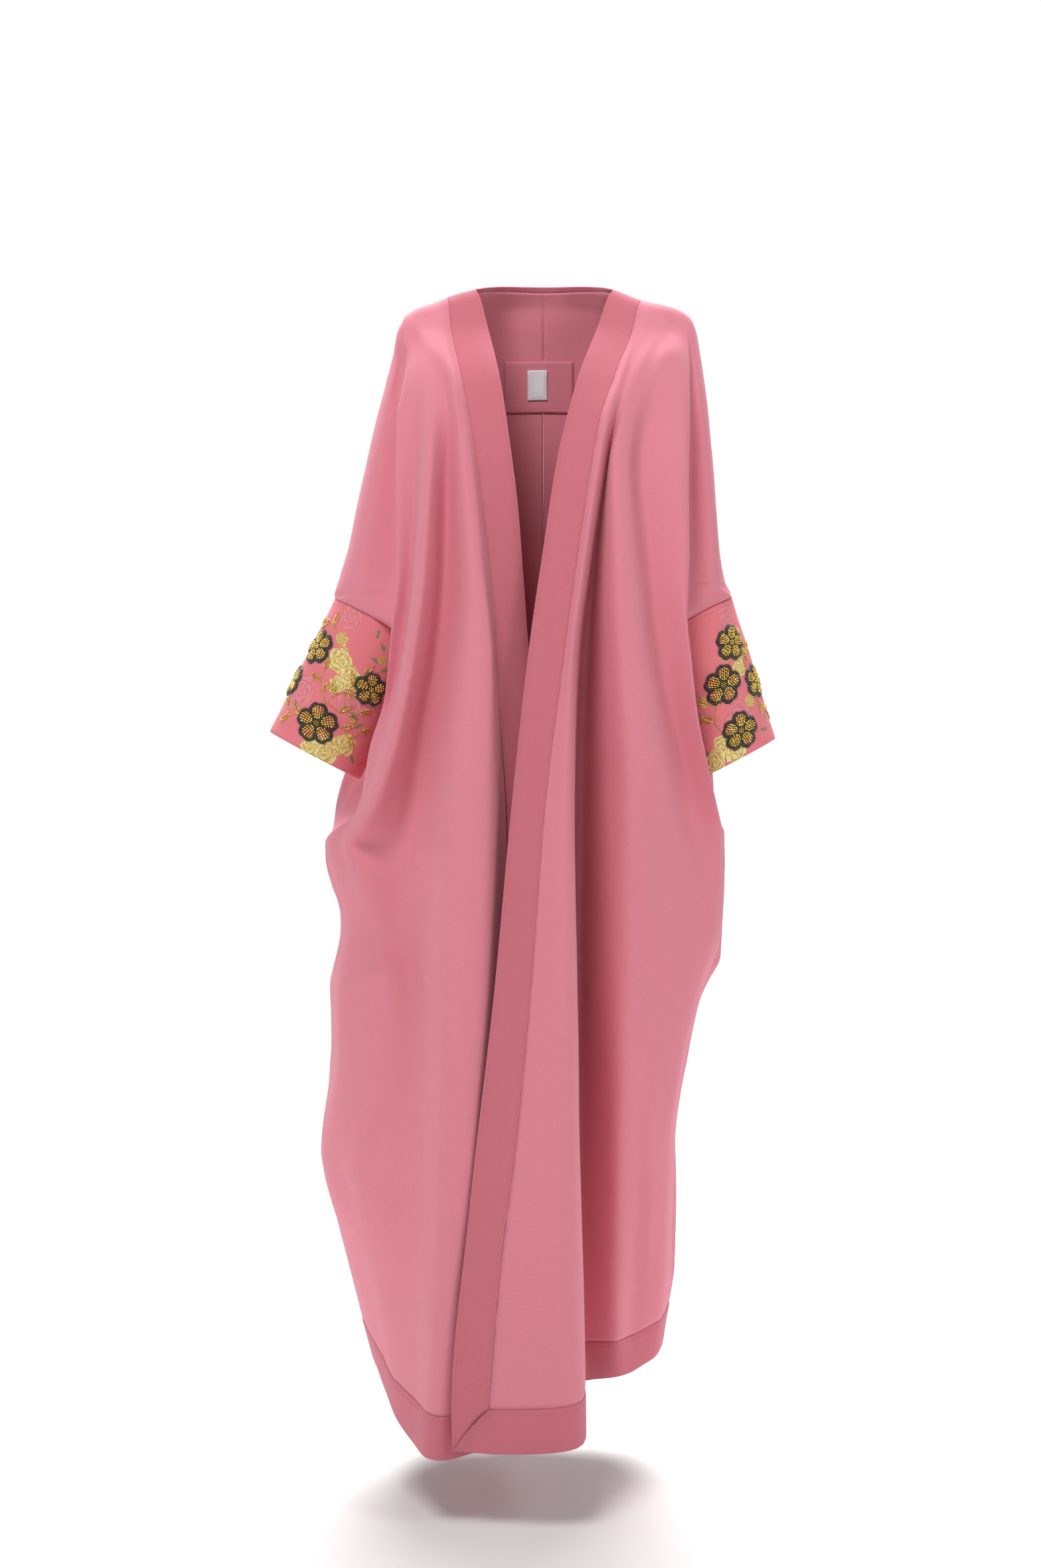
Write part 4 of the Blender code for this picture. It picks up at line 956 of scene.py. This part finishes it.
def bead_matrix(side, round_mm, along, lift, heading, size):
    """Places a bead on a cuff. heading: radians from the way round towards the way down."""
    turn = round_mm / RING_RADIUS
    here = Vector(cuff_place(side, turn, along, CUFF_WALL / 2 + lift))
    round_way = (Vector(cuff_place(side, turn + 0.02, along)) - Vector(cuff_place(side, turn, along)))
    down_way = Vector(cuff_place(side, turn, along + 1)) - Vector(cuff_place(side, turn, along))
    round_way.normalize()
    down_way.normalize()
    axis = Vector(ring_point(side, turn, along, 0.0))
    out = here - axis
    out = (out - down_way * out.dot(down_way)).normalized()
    forward = (round_way * math.cos(heading) + down_way * math.sin(heading)).normalized()
    aside = out.cross(forward).normalized()
    turned = Matrix((forward, aside, out)).transposed().to_4x4()
    return (Matrix.Translation(here) @ turned
            @ Matrix.Diagonal((size[0] / 2, size[1] / 2, size[2] / 2, 1)))


def bead_piece(name, beads, node):
    """A piece of many beads, each a matrix and the number of its finish."""
    finishes = [MATERIALS[finish] for finish in ("gold_beads", "black_beads", "amber_beads")]
    places, kinds = zip(*beads)
    mesh = gathered(name, (6, 4), places, finishes, list(kinds))
    add_piece(name, mesh, node)


def make_flower(side, number, degrees, along, width):
    """Five petals, each filled with rows of gold beads and edged with black ones."""
    beads = []
    centre = math.radians(degrees) * RING_RADIUS
    radius, spin = width / 2, 0.5 + number * 1.3
    draw = np.random.default_rng(100 * number + len(side))
    for petal in range(5):
        heading = spin + petal * 2 * math.pi / 5
        ahead = np.array([math.cos(heading), math.sin(heading)])
        aside = np.array([-ahead[1], ahead[0]])
        long, wide = radius * 0.46, radius * 0.37
        middle = np.array([centre, along]) + ahead * radius * 0.54
        for row, (swell, lift, size) in enumerate(((1.0, 0.9, 2.3), (0.86, 1.5, 2.1), (1.12, 0.6, 2.1))):
            count = int(2 * math.pi * (long + wide) / 2 * swell / 1.95)
            for k in range(count):
                turn = 2 * math.pi * (k + 0.5 * row) / count
                dent = 1 - 0.16 * math.exp(-((math.remainder(turn, 2 * math.pi)) / 0.35) ** 2)
                place = (middle + ahead * long * swell * dent * math.cos(turn)
                         + aside * wide * swell * (1.08 + 0.12 * math.cos(turn)) * math.sin(turn))
                grow = size * (0.9 + 0.2 * draw.random())
                if np.linalg.norm(place - (centre, along)) < radius * 0.1:
                    continue
                beads.append((bead_matrix(side, *place, lift, turn, (grow, grow, grow)), 1))
        rows = 5
        for k in range(rows):
            across_petal = (k - (rows - 1) / 2) / (rows / 2)
            reach = math.sqrt(max(0.0, 1 - across_petal ** 2)) * 0.74
            steps = max(1, round(2 * long * reach / 3.3))
            for step in range(steps):
                ahead_petal = (-reach + 2 * reach * (step + 0.5) / steps)
                fan = heading + across_petal * 0.35
                place = (middle + ahead * long * ahead_petal
                         + aside * wide * 0.74 * across_petal * (1 + 0.25 * ahead_petal))
                rise = 1.5 + 0.9 * (1 - across_petal ** 2) * (1 - ahead_petal ** 2)
                size = (3.9, 2.3, 2.1 + 0.4 * draw.random())
                kind = 2 if draw.random() < 0.28 else 0
                fan += draw.normal(0, 0.12)
                beads.append((bead_matrix(side, *place, rise, fan, size), kind))
    for k in range(7):
        turn, reach = 2 * math.pi * k / 6, (0.0 if k == 6 else 2.3)
        place = np.array([centre, along]) + reach * np.array([math.cos(turn), math.sin(turn)])
        beads.append((bead_matrix(side, *place, 2.2, turn, (2.4, 2.4, 2.6)), 0))
    bead_piece(f"{side}_beaded_flower_{number}", beads, f"flower_{side}_{number}")


def add_bead_leaf(beads, side, place, heading, length, draw):
    """Leaf filled with slanting rows of gold beads on both sides of its rib."""
    ahead = np.array([math.cos(heading), math.sin(heading)])
    aside = np.array([-ahead[1], ahead[0]])
    rows = int(length / 2.1)
    for k in range(rows):
        along_leaf = (k + 0.6) / rows
        half = length * 0.24 * math.sin(math.pi * along_leaf ** 0.8) ** 0.8
        for way in (-1, 1):
            centre = place + ahead * length * along_leaf + aside * way * half * 0.55
            size = (max(1.8, half * 1.25), 1.7, 1.6)
            slant = heading + way * 0.75
            kind = 2 if draw.random() < 0.35 else 0
            beads.append((bead_matrix(side, *centre, 0.7, slant, size), kind))


def make_branches(side):
    """Gold beaded stems with leaves on both sides and at their ends."""
    draw = np.random.default_rng(7 if side == "right" else 8)
    for number, branch in enumerate(BRANCHES[side], 1):
        beads = []
        points = [(math.radians(degrees) * RING_RADIUS, along) for degrees, along in branch]
        run = smooth_run(points, 120)
        length = np.concatenate([[0], np.cumsum(np.linalg.norm(np.diff(run, axis=0), axis=1))])
        for at in np.arange(0, length[-1], 1.75):
            place = np.array([np.interp(at, length, run[:, k]) for k in range(2)])
            ahead = np.array([np.interp(at + 1, length, run[:, k]) for k in range(2)]) - place
            heading = math.atan2(ahead[1], ahead[0])
            beads.append((bead_matrix(side, *place, 0.4, heading, (1.9, 1.5, 1.5)), 0))
        for k, point in enumerate(points[1:]):
            nearest = int(np.linalg.norm(run - point, axis=1).argmin())
            ahead = run[min(nearest + 1, 119)] - run[max(nearest - 1, 0)]
            heading = math.atan2(ahead[1], ahead[0])
            last = k == len(points) - 2
            heading += 0.0 if last else (0.9 if (k + number) % 2 else -0.9)
            size = 15.0 + 4.0 * draw.random()
            add_bead_leaf(beads, side, np.array(point), heading, size, draw)
        bead_piece(f"{side}_beaded_branch_{number}", beads, None)


# Finishes


def add_node(tree, kind, inputs=None, **settings):
    """A node with its settings and inputs; an input is a value or another node's socket."""
    made = tree.nodes.new(kind)
    for key, value in settings.items():
        setattr(made, key, value)
    for key, value in (inputs or {}).items():
        if isinstance(value, bpy.types.NodeSocket):
            tree.links.new(value, made.inputs[key])
        else:
            made.inputs[key].default_value = value
    return made


def calc(tree, operation, *values):
    """Socket of a Math node on numbers and sockets."""
    return add_node(tree, "ShaderNodeMath", dict(enumerate(values)), operation=operation).outputs[0]


def blend_colour(tree, factor, first, second, kind="MIX"):
    """Socket of a colour mix."""
    mix = add_node(tree, "ShaderNodeMix", {0: factor, 6: first, 7: second}, data_type="RGBA",
                   blend_type=kind)
    return mix.outputs[2]


def soft_step(tree, value, low, high):
    """0 below low, 1 above high, smooth between them."""
    made = add_node(tree, "ShaderNodeMapRange", {"Value": value, "From Min": low, "From Max": high},
                    interpolation_type="SMOOTHSTEP")
    return made.outputs["Result"]


def new_group(name, inputs, outputs):
    """An empty shader group with its sockets, and its input and output nodes."""
    group = bpy.data.node_groups.new(name, "ShaderNodeTree")
    for label, kind in inputs:
        group.interface.new_socket(name=label, in_out="INPUT", socket_type=kind)
    for label, kind in outputs:
        group.interface.new_socket(name=label, in_out="OUTPUT", socket_type=kind)
    start, end = group.nodes.new("NodeGroupInput"), group.nodes.new("NodeGroupOutput")
    return group, start.outputs, end.inputs


def weave_group():
    """Plain weave with slubs. Pitch is threads in a metre; Tone is the thread's unevenness."""
    group, given, out = new_group(
        "plain_weave",
        (("Vector", "NodeSocketVector"), ("Pitch", "NodeSocketFloat")),
        (("Height", "NodeSocketFloat"), ("Tone", "NodeSocketFloat")))
    turned = add_node(group, "ShaderNodeVectorMath", {0: given["Vector"], "Scale": given["Pitch"]},
                      operation="SCALE").outputs[0]
    split = add_node(group, "ShaderNodeSeparateXYZ", {0: turned}).outputs
    waves = [calc(group, "SINE", calc(group, "MULTIPLY", split[k], math.pi)) for k in range(2)]
    crossing = calc(group, "MULTIPLY", *waves)
    slubs = []
    for stretch in ((70.0, 1500.0, 1.0), (1500.0, 70.0, 1.0)):
        place = add_node(group, "ShaderNodeVectorMath", {0: given["Vector"], 1: stretch},
                         operation="MULTIPLY").outputs[0]
        slubs.append(add_node(group, "ShaderNodeTexNoise", {"Vector": place, "Scale": 1.0,
                                                            "Detail": 2.0}).outputs["Fac"])
    tone = calc(group, "MULTIPLY_ADD", calc(group, "ADD", *slubs), 1.6, -1.1)
    group.links.new(calc(group, "MULTIPLY_ADD", tone, 0.8, crossing), out["Height"])
    group.links.new(tone, out["Tone"])
    return group


def dye_group():
    """Colour that varies a little over the garment, as piece-dyed cloth does."""
    group, given, out = new_group(
        "dyed_cloth",
        (("Color", "NodeSocketColor"), ("Deep", "NodeSocketColor"), ("Tone", "NodeSocketFloat"),
         ("Amount", "NodeSocketFloat")),
        (("Color", "NodeSocketColor"),))
    place = add_node(group, "ShaderNodeTexCoord").outputs["Object"]
    clouds = add_node(group, "ShaderNodeTexNoise", {"Vector": place, "Scale": 6.0, "Detail": 3.0})
    share = calc(group, "MULTIPLY_ADD", calc(group, "SUBTRACT", clouds.outputs["Fac"], 0.5), 0.5,
                 calc(group, "SUBTRACT", 0.35, calc(group, "MULTIPLY", given["Tone"], 0.9)))
    factor = calc(group, "MULTIPLY", share, given["Amount"])
    mixed = add_node(group, "ShaderNodeMix", {0: factor, 6: given["Color"], 7: given["Deep"]},
                     data_type="RGBA", clamp_factor=True)
    group.links.new(mixed.outputs[2], out["Color"])
    return group


def local_place(group, given):
    """Distance and angle from a printed motif's centre, in its own radii, a little uneven."""
    gap = add_node(group, "ShaderNodeVectorMath", {0: given["Vector"], 1: given["Centre"]},
                   operation="SUBTRACT").outputs[0]
    wobble = add_node(group, "ShaderNodeTexNoise", {"Vector": given["Vector"], "Scale": 190.0,
                                                    "Detail": 1.0}).outputs["Color"]
    wobble = add_node(group, "ShaderNodeVectorMath", {0: wobble, 1: (0.5, 0.5, 0.5)},
                      operation="SUBTRACT").outputs[0]
    wobble = add_node(group, "ShaderNodeVectorMath", {0: wobble, "Scale": 0.006},
                      operation="SCALE").outputs[0]
    gap = add_node(group, "ShaderNodeVectorMath", {0: gap, 1: wobble}).outputs[0]
    split = add_node(group, "ShaderNodeSeparateXYZ", {0: gap}).outputs
    return split[0], split[1]


def rose_group():
    """A printed rose: rings of overlapping petals. Mask is where it is, Shade its petals."""
    group, given, out = new_group(
        "printed_rose",
        (("Vector", "NodeSocketVector"), ("Centre", "NodeSocketVector"),
         ("Radius", "NodeSocketFloat"), ("Turn", "NodeSocketFloat")),
        (("Mask", "NodeSocketFloat"), ("Shade", "NodeSocketFloat")))
    x, y = local_place(group, given)
    far = calc(group, "SQRT", calc(group, "ADD", calc(group, "MULTIPLY", x, x),
                                   calc(group, "MULTIPLY", y, y)))
    far = calc(group, "DIVIDE", far, given["Radius"])
    angle = calc(group, "ADD", calc(group, "ARCTAN2", y, x), given["Turn"])
    ring = calc(group, "MULTIPLY", far, 3.4)
    twist = calc(group, "SINE", calc(group, "ADD", calc(group, "MULTIPLY", angle, 3.0),
                                     calc(group, "MULTIPLY", far, 7.0)))
    swirl = calc(group, "MULTIPLY_ADD", twist, 0.3, ring)
    petals = calc(group, "FRACT", swirl)
    scallop = calc(group, "ABSOLUTE", calc(group, "SINE", calc(group, "MULTIPLY", angle, 2.5)))
    edge = calc(group, "MULTIPLY_ADD", scallop, 0.2, 0.82)
    mask = soft_step(group, calc(group, "SUBTRACT", edge, far), 0.0, 0.06)
    group.links.new(mask, out["Mask"])
    group.links.new(soft_step(group, petals, 0.05, 0.95), out["Shade"])
    return group


def leaf_group():
    """A printed leaf. Mask is where it is, Shade its ribs."""
    group, given, out = new_group(
        "printed_leaf",
        (("Vector", "NodeSocketVector"), ("Centre", "NodeSocketVector"),
         ("Radius", "NodeSocketFloat"), ("Turn", "NodeSocketFloat")),
        (("Mask", "NodeSocketFloat"), ("Shade", "NodeSocketFloat")))
    x, y = local_place(group, given)
    cos, sin = calc(group, "COSINE", given["Turn"]), calc(group, "SINE", given["Turn"])
    long = calc(group, "ADD", calc(group, "MULTIPLY", x, cos), calc(group, "MULTIPLY", y, sin))
    wide = calc(group, "SUBTRACT", calc(group, "MULTIPLY", y, cos), calc(group, "MULTIPLY", x, sin))
    long = calc(group, "DIVIDE", long, given["Radius"])
    wide = calc(group, "ABSOLUTE", calc(group, "DIVIDE", wide, given["Radius"]))
    half = calc(group, "MULTIPLY", calc(group, "SUBTRACT", 1.0, calc(group, "MULTIPLY", long, long)),
                0.42)
    group.links.new(soft_step(group, calc(group, "SUBTRACT", half, wide), 0.0, 0.08), out["Mask"])
    ribs = calc(group, "SINE", calc(group, "MULTIPLY",
                                    calc(group, "SUBTRACT", long, calc(group, "MULTIPLY", wide, 1.4)),
                                    22.0))
    rib = soft_step(group, wide, 0.0, 0.08)
    group.links.new(calc(group, "MULTIPLY", rib, calc(group, "MULTIPLY_ADD", ribs, 0.3, 0.7)),
                    out["Shade"])
    return group


def new_material(name, **settings):
    """A material with its Principled shader, whose plain sockets are set by name."""
    material = bpy.data.materials.new(name)
    material.use_nodes = True
    shader = material.node_tree.nodes["Principled BSDF"]
    for key, value in settings.items():
        shader.inputs[key.replace("_", " ")].default_value = value
    MATERIALS[name] = material
    return material, material.node_tree, shader


def place_group(tree, group, **inputs):
    made = tree.nodes.new("ShaderNodeGroup")
    made.node_tree = group
    for key, value in inputs.items():
        if isinstance(value, bpy.types.NodeSocket):
            tree.links.new(value, made.inputs[key])
        else:
            made.inputs[key].default_value = value
    return made.outputs


def cotton_material(name, colour, deep, pitch, amount, bump):
    material, tree, shader = new_material(name, Roughness=0.88, Sheen_Weight=0.16,
                                          Sheen_Roughness=0.45, Specular_IOR_Level=0.22)
    flat_map = add_node(tree, "ShaderNodeUVMap", uv_map="cloth").outputs["UV"]
    weave = place_group(tree, GROUPS["weave"], Vector=flat_map, Pitch=pitch)
    dyed = place_group(tree, GROUPS["dye"], Color=colour, Deep=deep, Tone=weave["Tone"],
                       Amount=amount)
    raised = add_node(tree, "ShaderNodeBump", {"Height": weave["Height"], "Strength": bump,
                                               "Distance": 0.0003})
    tree.links.new(dyed["Color"], shader.inputs["Base Color"])
    tree.links.new(raised.outputs["Normal"], shader.inputs["Normal"])


def cuff_material(side):
    """Rose jacquard with woven tonal roses and printed cream roses, blossoms and leaves."""
    material, tree, shader = new_material(side + "_cuff_jacquard", Roughness=0.7,
                                          Sheen_Weight=0.12, Specular_IOR_Level=0.3)
    flat_map = add_node(tree, "ShaderNodeUVMap", uv_map="cloth").outputs["UV"]
    weave = place_group(tree, GROUPS["weave"], Vector=flat_map, Pitch=1700.0)
    colour = place_group(tree, GROUPS["dye"], Color=(0.78, 0.20, 0.23, 1), Deep=(0.55, 0.11, 0.14, 1),
                         Tone=weave["Tone"], Amount=0.7)["Color"]
    height = calc(tree, "MULTIPLY", weave["Height"], 0.25)
    motifs = [(place, "rose") for place in ROSES[side] if place[3] == "tonal"]
    motifs += [(place, "leaf") for place in PRINTED_LEAVES[side]]
    motifs += [(place, "rose") for place in ROSES[side] if place[3] != "tonal"]
    for place, kind in motifs:
        turn = math.radians(place[3]) if kind == "leaf" else 0.11 * (place[0] + place[1])
        light, dark = LEAF_COLOURS if kind == "leaf" else PRINT_COLOURS[place[3]]
        radius = place[2] * (0.5 if kind == "leaf" else 1.0)
        centre = (math.radians(place[0]) * RING_RADIUS * MM, place[1] * MM, 0.0)
        motif = place_group(tree, GROUPS[kind], Vector=flat_map, Centre=centre,
                            Radius=radius * MM, Turn=turn)
        tint = blend_colour(tree, motif["Shade"], (*dark, 1), (*light, 1))
        strength = 0.5 if place[3] == "tonal" else 0.94
        colour = blend_colour(tree, calc(tree, "MULTIPLY", motif["Mask"], strength), colour, tint)
        if place[3] == "tonal":
            raised = calc(tree, "MULTIPLY", motif["Mask"], calc(tree, "MULTIPLY", motif["Shade"], 1.6))
            height = calc(tree, "ADD", height, raised)
    bump = add_node(tree, "ShaderNodeBump", {"Height": height, "Strength": 0.5, "Distance": 0.0006})
    tree.links.new(colour, shader.inputs["Base Color"])
    tree.links.new(bump.outputs["Normal"], shader.inputs["Normal"])


def bead_material(name, colour, deep, **settings):
    """Cut glass or metal beads: each a little lighter or darker than the next."""
    material, tree, shader = new_material(name, **settings)
    place = add_node(tree, "ShaderNodeTexCoord").outputs["Object"]
    cells = add_node(tree, "ShaderNodeTexVoronoi", {"Vector": place, "Scale": 420.0})
    shade = add_node(tree, "ShaderNodeSeparateColor", {0: cells.outputs["Color"]}).outputs[0]
    tree.links.new(blend_colour(tree, shade, colour, deep), shader.inputs["Base Color"])
    rough = calc(tree, "MULTIPLY_ADD", shade, 0.2, 0.16)
    tree.links.new(rough, shader.inputs["Roughness"])


def satin_material():
    material, tree, shader = new_material("white_satin", Roughness=0.42, Sheen_Weight=0.1,
                                          Specular_IOR_Level=0.5)
    flat_map = add_node(tree, "ShaderNodeUVMap", uv_map="cloth").outputs["UV"]
    weave = place_group(tree, GROUPS["weave"], Vector=flat_map, Pitch=2600.0)
    dyed = place_group(tree, GROUPS["dye"], Color=(0.78, 0.79, 0.83, 1), Deep=(0.62, 0.62, 0.67, 1),
                       Tone=weave["Tone"], Amount=0.5)
    bump = add_node(tree, "ShaderNodeBump", {"Height": weave["Height"], "Strength": 0.3,
                                             "Distance": 0.0002})
    tree.links.new(dyed["Color"], shader.inputs["Base Color"])
    tree.links.new(bump.outputs["Normal"], shader.inputs["Normal"])


def make_materials():
    GROUPS.update(weave=weave_group(), dye=dye_group(), rose=rose_group(), leaf=leaf_group())
    cotton_material("pink_cotton", (0.72, 0.235, 0.295, 1), (0.52, 0.13, 0.17, 1), 1500.0, 0.55, 0.35)
    # Darker copy of the pink cotton for the bands, hems and binding: partly their doubled cloth, partly
    # painted shade
    cotton_material("pink_band", (0.60, 0.165, 0.212, 1), (0.42, 0.09, 0.12, 1), 1500.0, 0.6, 0.4)
    cuff_material("right")
    cuff_material("left")
    satin_material()
    _, tree, shader = new_material("thread", Roughness=0.6, Sheen_Weight=0.2)
    place = add_node(tree, "ShaderNodeTexCoord").outputs["Object"]
    twist = add_node(tree, "ShaderNodeTexNoise", {"Vector": place, "Scale": 900.0})
    tree.links.new(blend_colour(tree, twist.outputs["Fac"], (0.50, 0.11, 0.15, 1),
                                (0.34, 0.06, 0.09, 1)), shader.inputs["Base Color"])
    bead_material("gold_beads", (0.86, 0.62, 0.14, 1), (0.55, 0.34, 0.05, 1), Metallic=0.85,
                  Specular_IOR_Level=0.6)
    bead_material("amber_beads", (0.95, 0.80, 0.34, 1), (0.80, 0.56, 0.14, 1), Metallic=0.7,
                  Specular_IOR_Level=0.6)
    bead_material("black_beads", (0.016, 0.020, 0.016, 1), (0.040, 0.045, 0.030, 1), Metallic=0.2,
                  Coat_Weight=0.6, Specular_IOR_Level=0.7)


# Stage


def make_floor():
    """Pale floor that fades into the white studio at its rim."""
    bm = bmesh.new()
    bmesh.ops.create_circle(bm, cap_ends=True, segments=64, radius=3.6)
    bmesh.ops.translate(bm, verts=bm.verts, vec=(0, 0, FLOOR_HEIGHT))
    mesh = bpy.data.meshes.new("studio_floor")
    bm.to_mesh(mesh)
    bm.free()
    floor = bpy.data.objects.new("studio_floor", mesh)
    bpy.context.scene.collection.objects.link(floor)
    material, tree, shader = new_material("studio_floor", Roughness=0.9)
    shader.inputs["Base Color"].default_value = (0.93, 0.93, 0.93, 1)
    place = add_node(tree, "ShaderNodeTexCoord").outputs["Object"]
    flat = add_node(tree, "ShaderNodeVectorMath", {0: place, 1: (1.0, 1.0, 0.0)},
                    operation="MULTIPLY").outputs[0]
    far = add_node(tree, "ShaderNodeVectorMath", {0: flat}, operation="LENGTH").outputs["Value"]
    fade = soft_step(tree, far, 3.4, 0.9)
    tree.links.new(fade, shader.inputs["Alpha"])
    mesh.materials.append(material)


def aim(thing, place, target):
    thing.location = place
    thing.rotation_euler = (Vector(target) - Vector(place)).to_track_quat("-Z", "Y").to_euler()


def make_studio():
    """White surroundings, darker overhead, with soft boxes above and in front."""
    scene = bpy.context.scene
    world = bpy.data.worlds.new("studio")
    scene.world = world
    world.use_nodes = True
    tree = world.node_tree
    place = add_node(tree, "ShaderNodeTexCoord").outputs["Generated"]
    way = add_node(tree, "ShaderNodeSeparateXYZ", {0: place}).outputs
    overhead = soft_step(tree, way["Z"], 0.38, 0.75)
    in_front = soft_step(tree, way["Y"], 0.55, -0.5)
    strength = calc(tree, "MULTIPLY", calc(tree, "MULTIPLY_ADD", overhead, -0.75, 1.03),
                    calc(tree, "MULTIPLY_ADD", in_front, -0.62, 1.0))
    tree.links.new(strength, tree.nodes["Background"].inputs["Strength"])
    tree.nodes["Background"].inputs["Color"].default_value = (1, 1, 1, 1)
    for name, place, target, size, power in SOFT_BOXES:
        light = bpy.data.lights.new(name, "AREA")
        light.shape, light.size, light.energy = "DISK", size, power
        box = bpy.data.objects.new(name, light)
        scene.collection.objects.link(box)
        aim(box, place, target)
    camera = bpy.data.objects.new("photo_camera", bpy.data.cameras.new("photo_camera"))
    scene.collection.objects.link(camera)
    camera.location = CAMERA_PLACE
    camera.rotation_euler = (math.pi / 2, 0, 0)
    camera.data.sensor_fit = "VERTICAL"
    camera.data.sensor_height = SENSOR
    camera.data.sensor_width = SENSOR
    camera.data.lens = FOCAL_PIXELS / PHOTO_SIZE[1] * SENSOR
    scene.camera = camera
    scene.view_settings.view_transform = "Standard"


def build():
    make_materials()
    backs = {}
    for side in SIDES:
        make_panels(side, MATERIALS["pink_cotton"])
        make_band(side, MATERIALS["pink_band"])
        make_hems(side, MATERIALS["pink_band"])
        make_cuff(side, MATERIALS[side + "_cuff_jacquard"])
        for number, flower in enumerate(FLOWERS[side], 1):
            make_flower(side, number, *flower)
        make_branches(side)
        backs[side] = PANELS[side]
    make_binding(MATERIALS["pink_band"])
    on_panel = CLOTH_WALL / 2 + 0.8 + TRIM_WALL / 2
    make_on_back("back_neck_patch", "neck_patch", PATCH_SIZE, PATCH_CENTRE, on_panel,
                 backs, MATERIALS["pink_cotton"], 0.5)
    make_on_back("bare_label", "neck_label", LABEL_SIZE, LABEL_CENTRE,
                 on_panel + TRIM_WALL + 0.9, backs, MATERIALS["white_satin"], 0.7)
    make_floor()
    make_studio()


build()
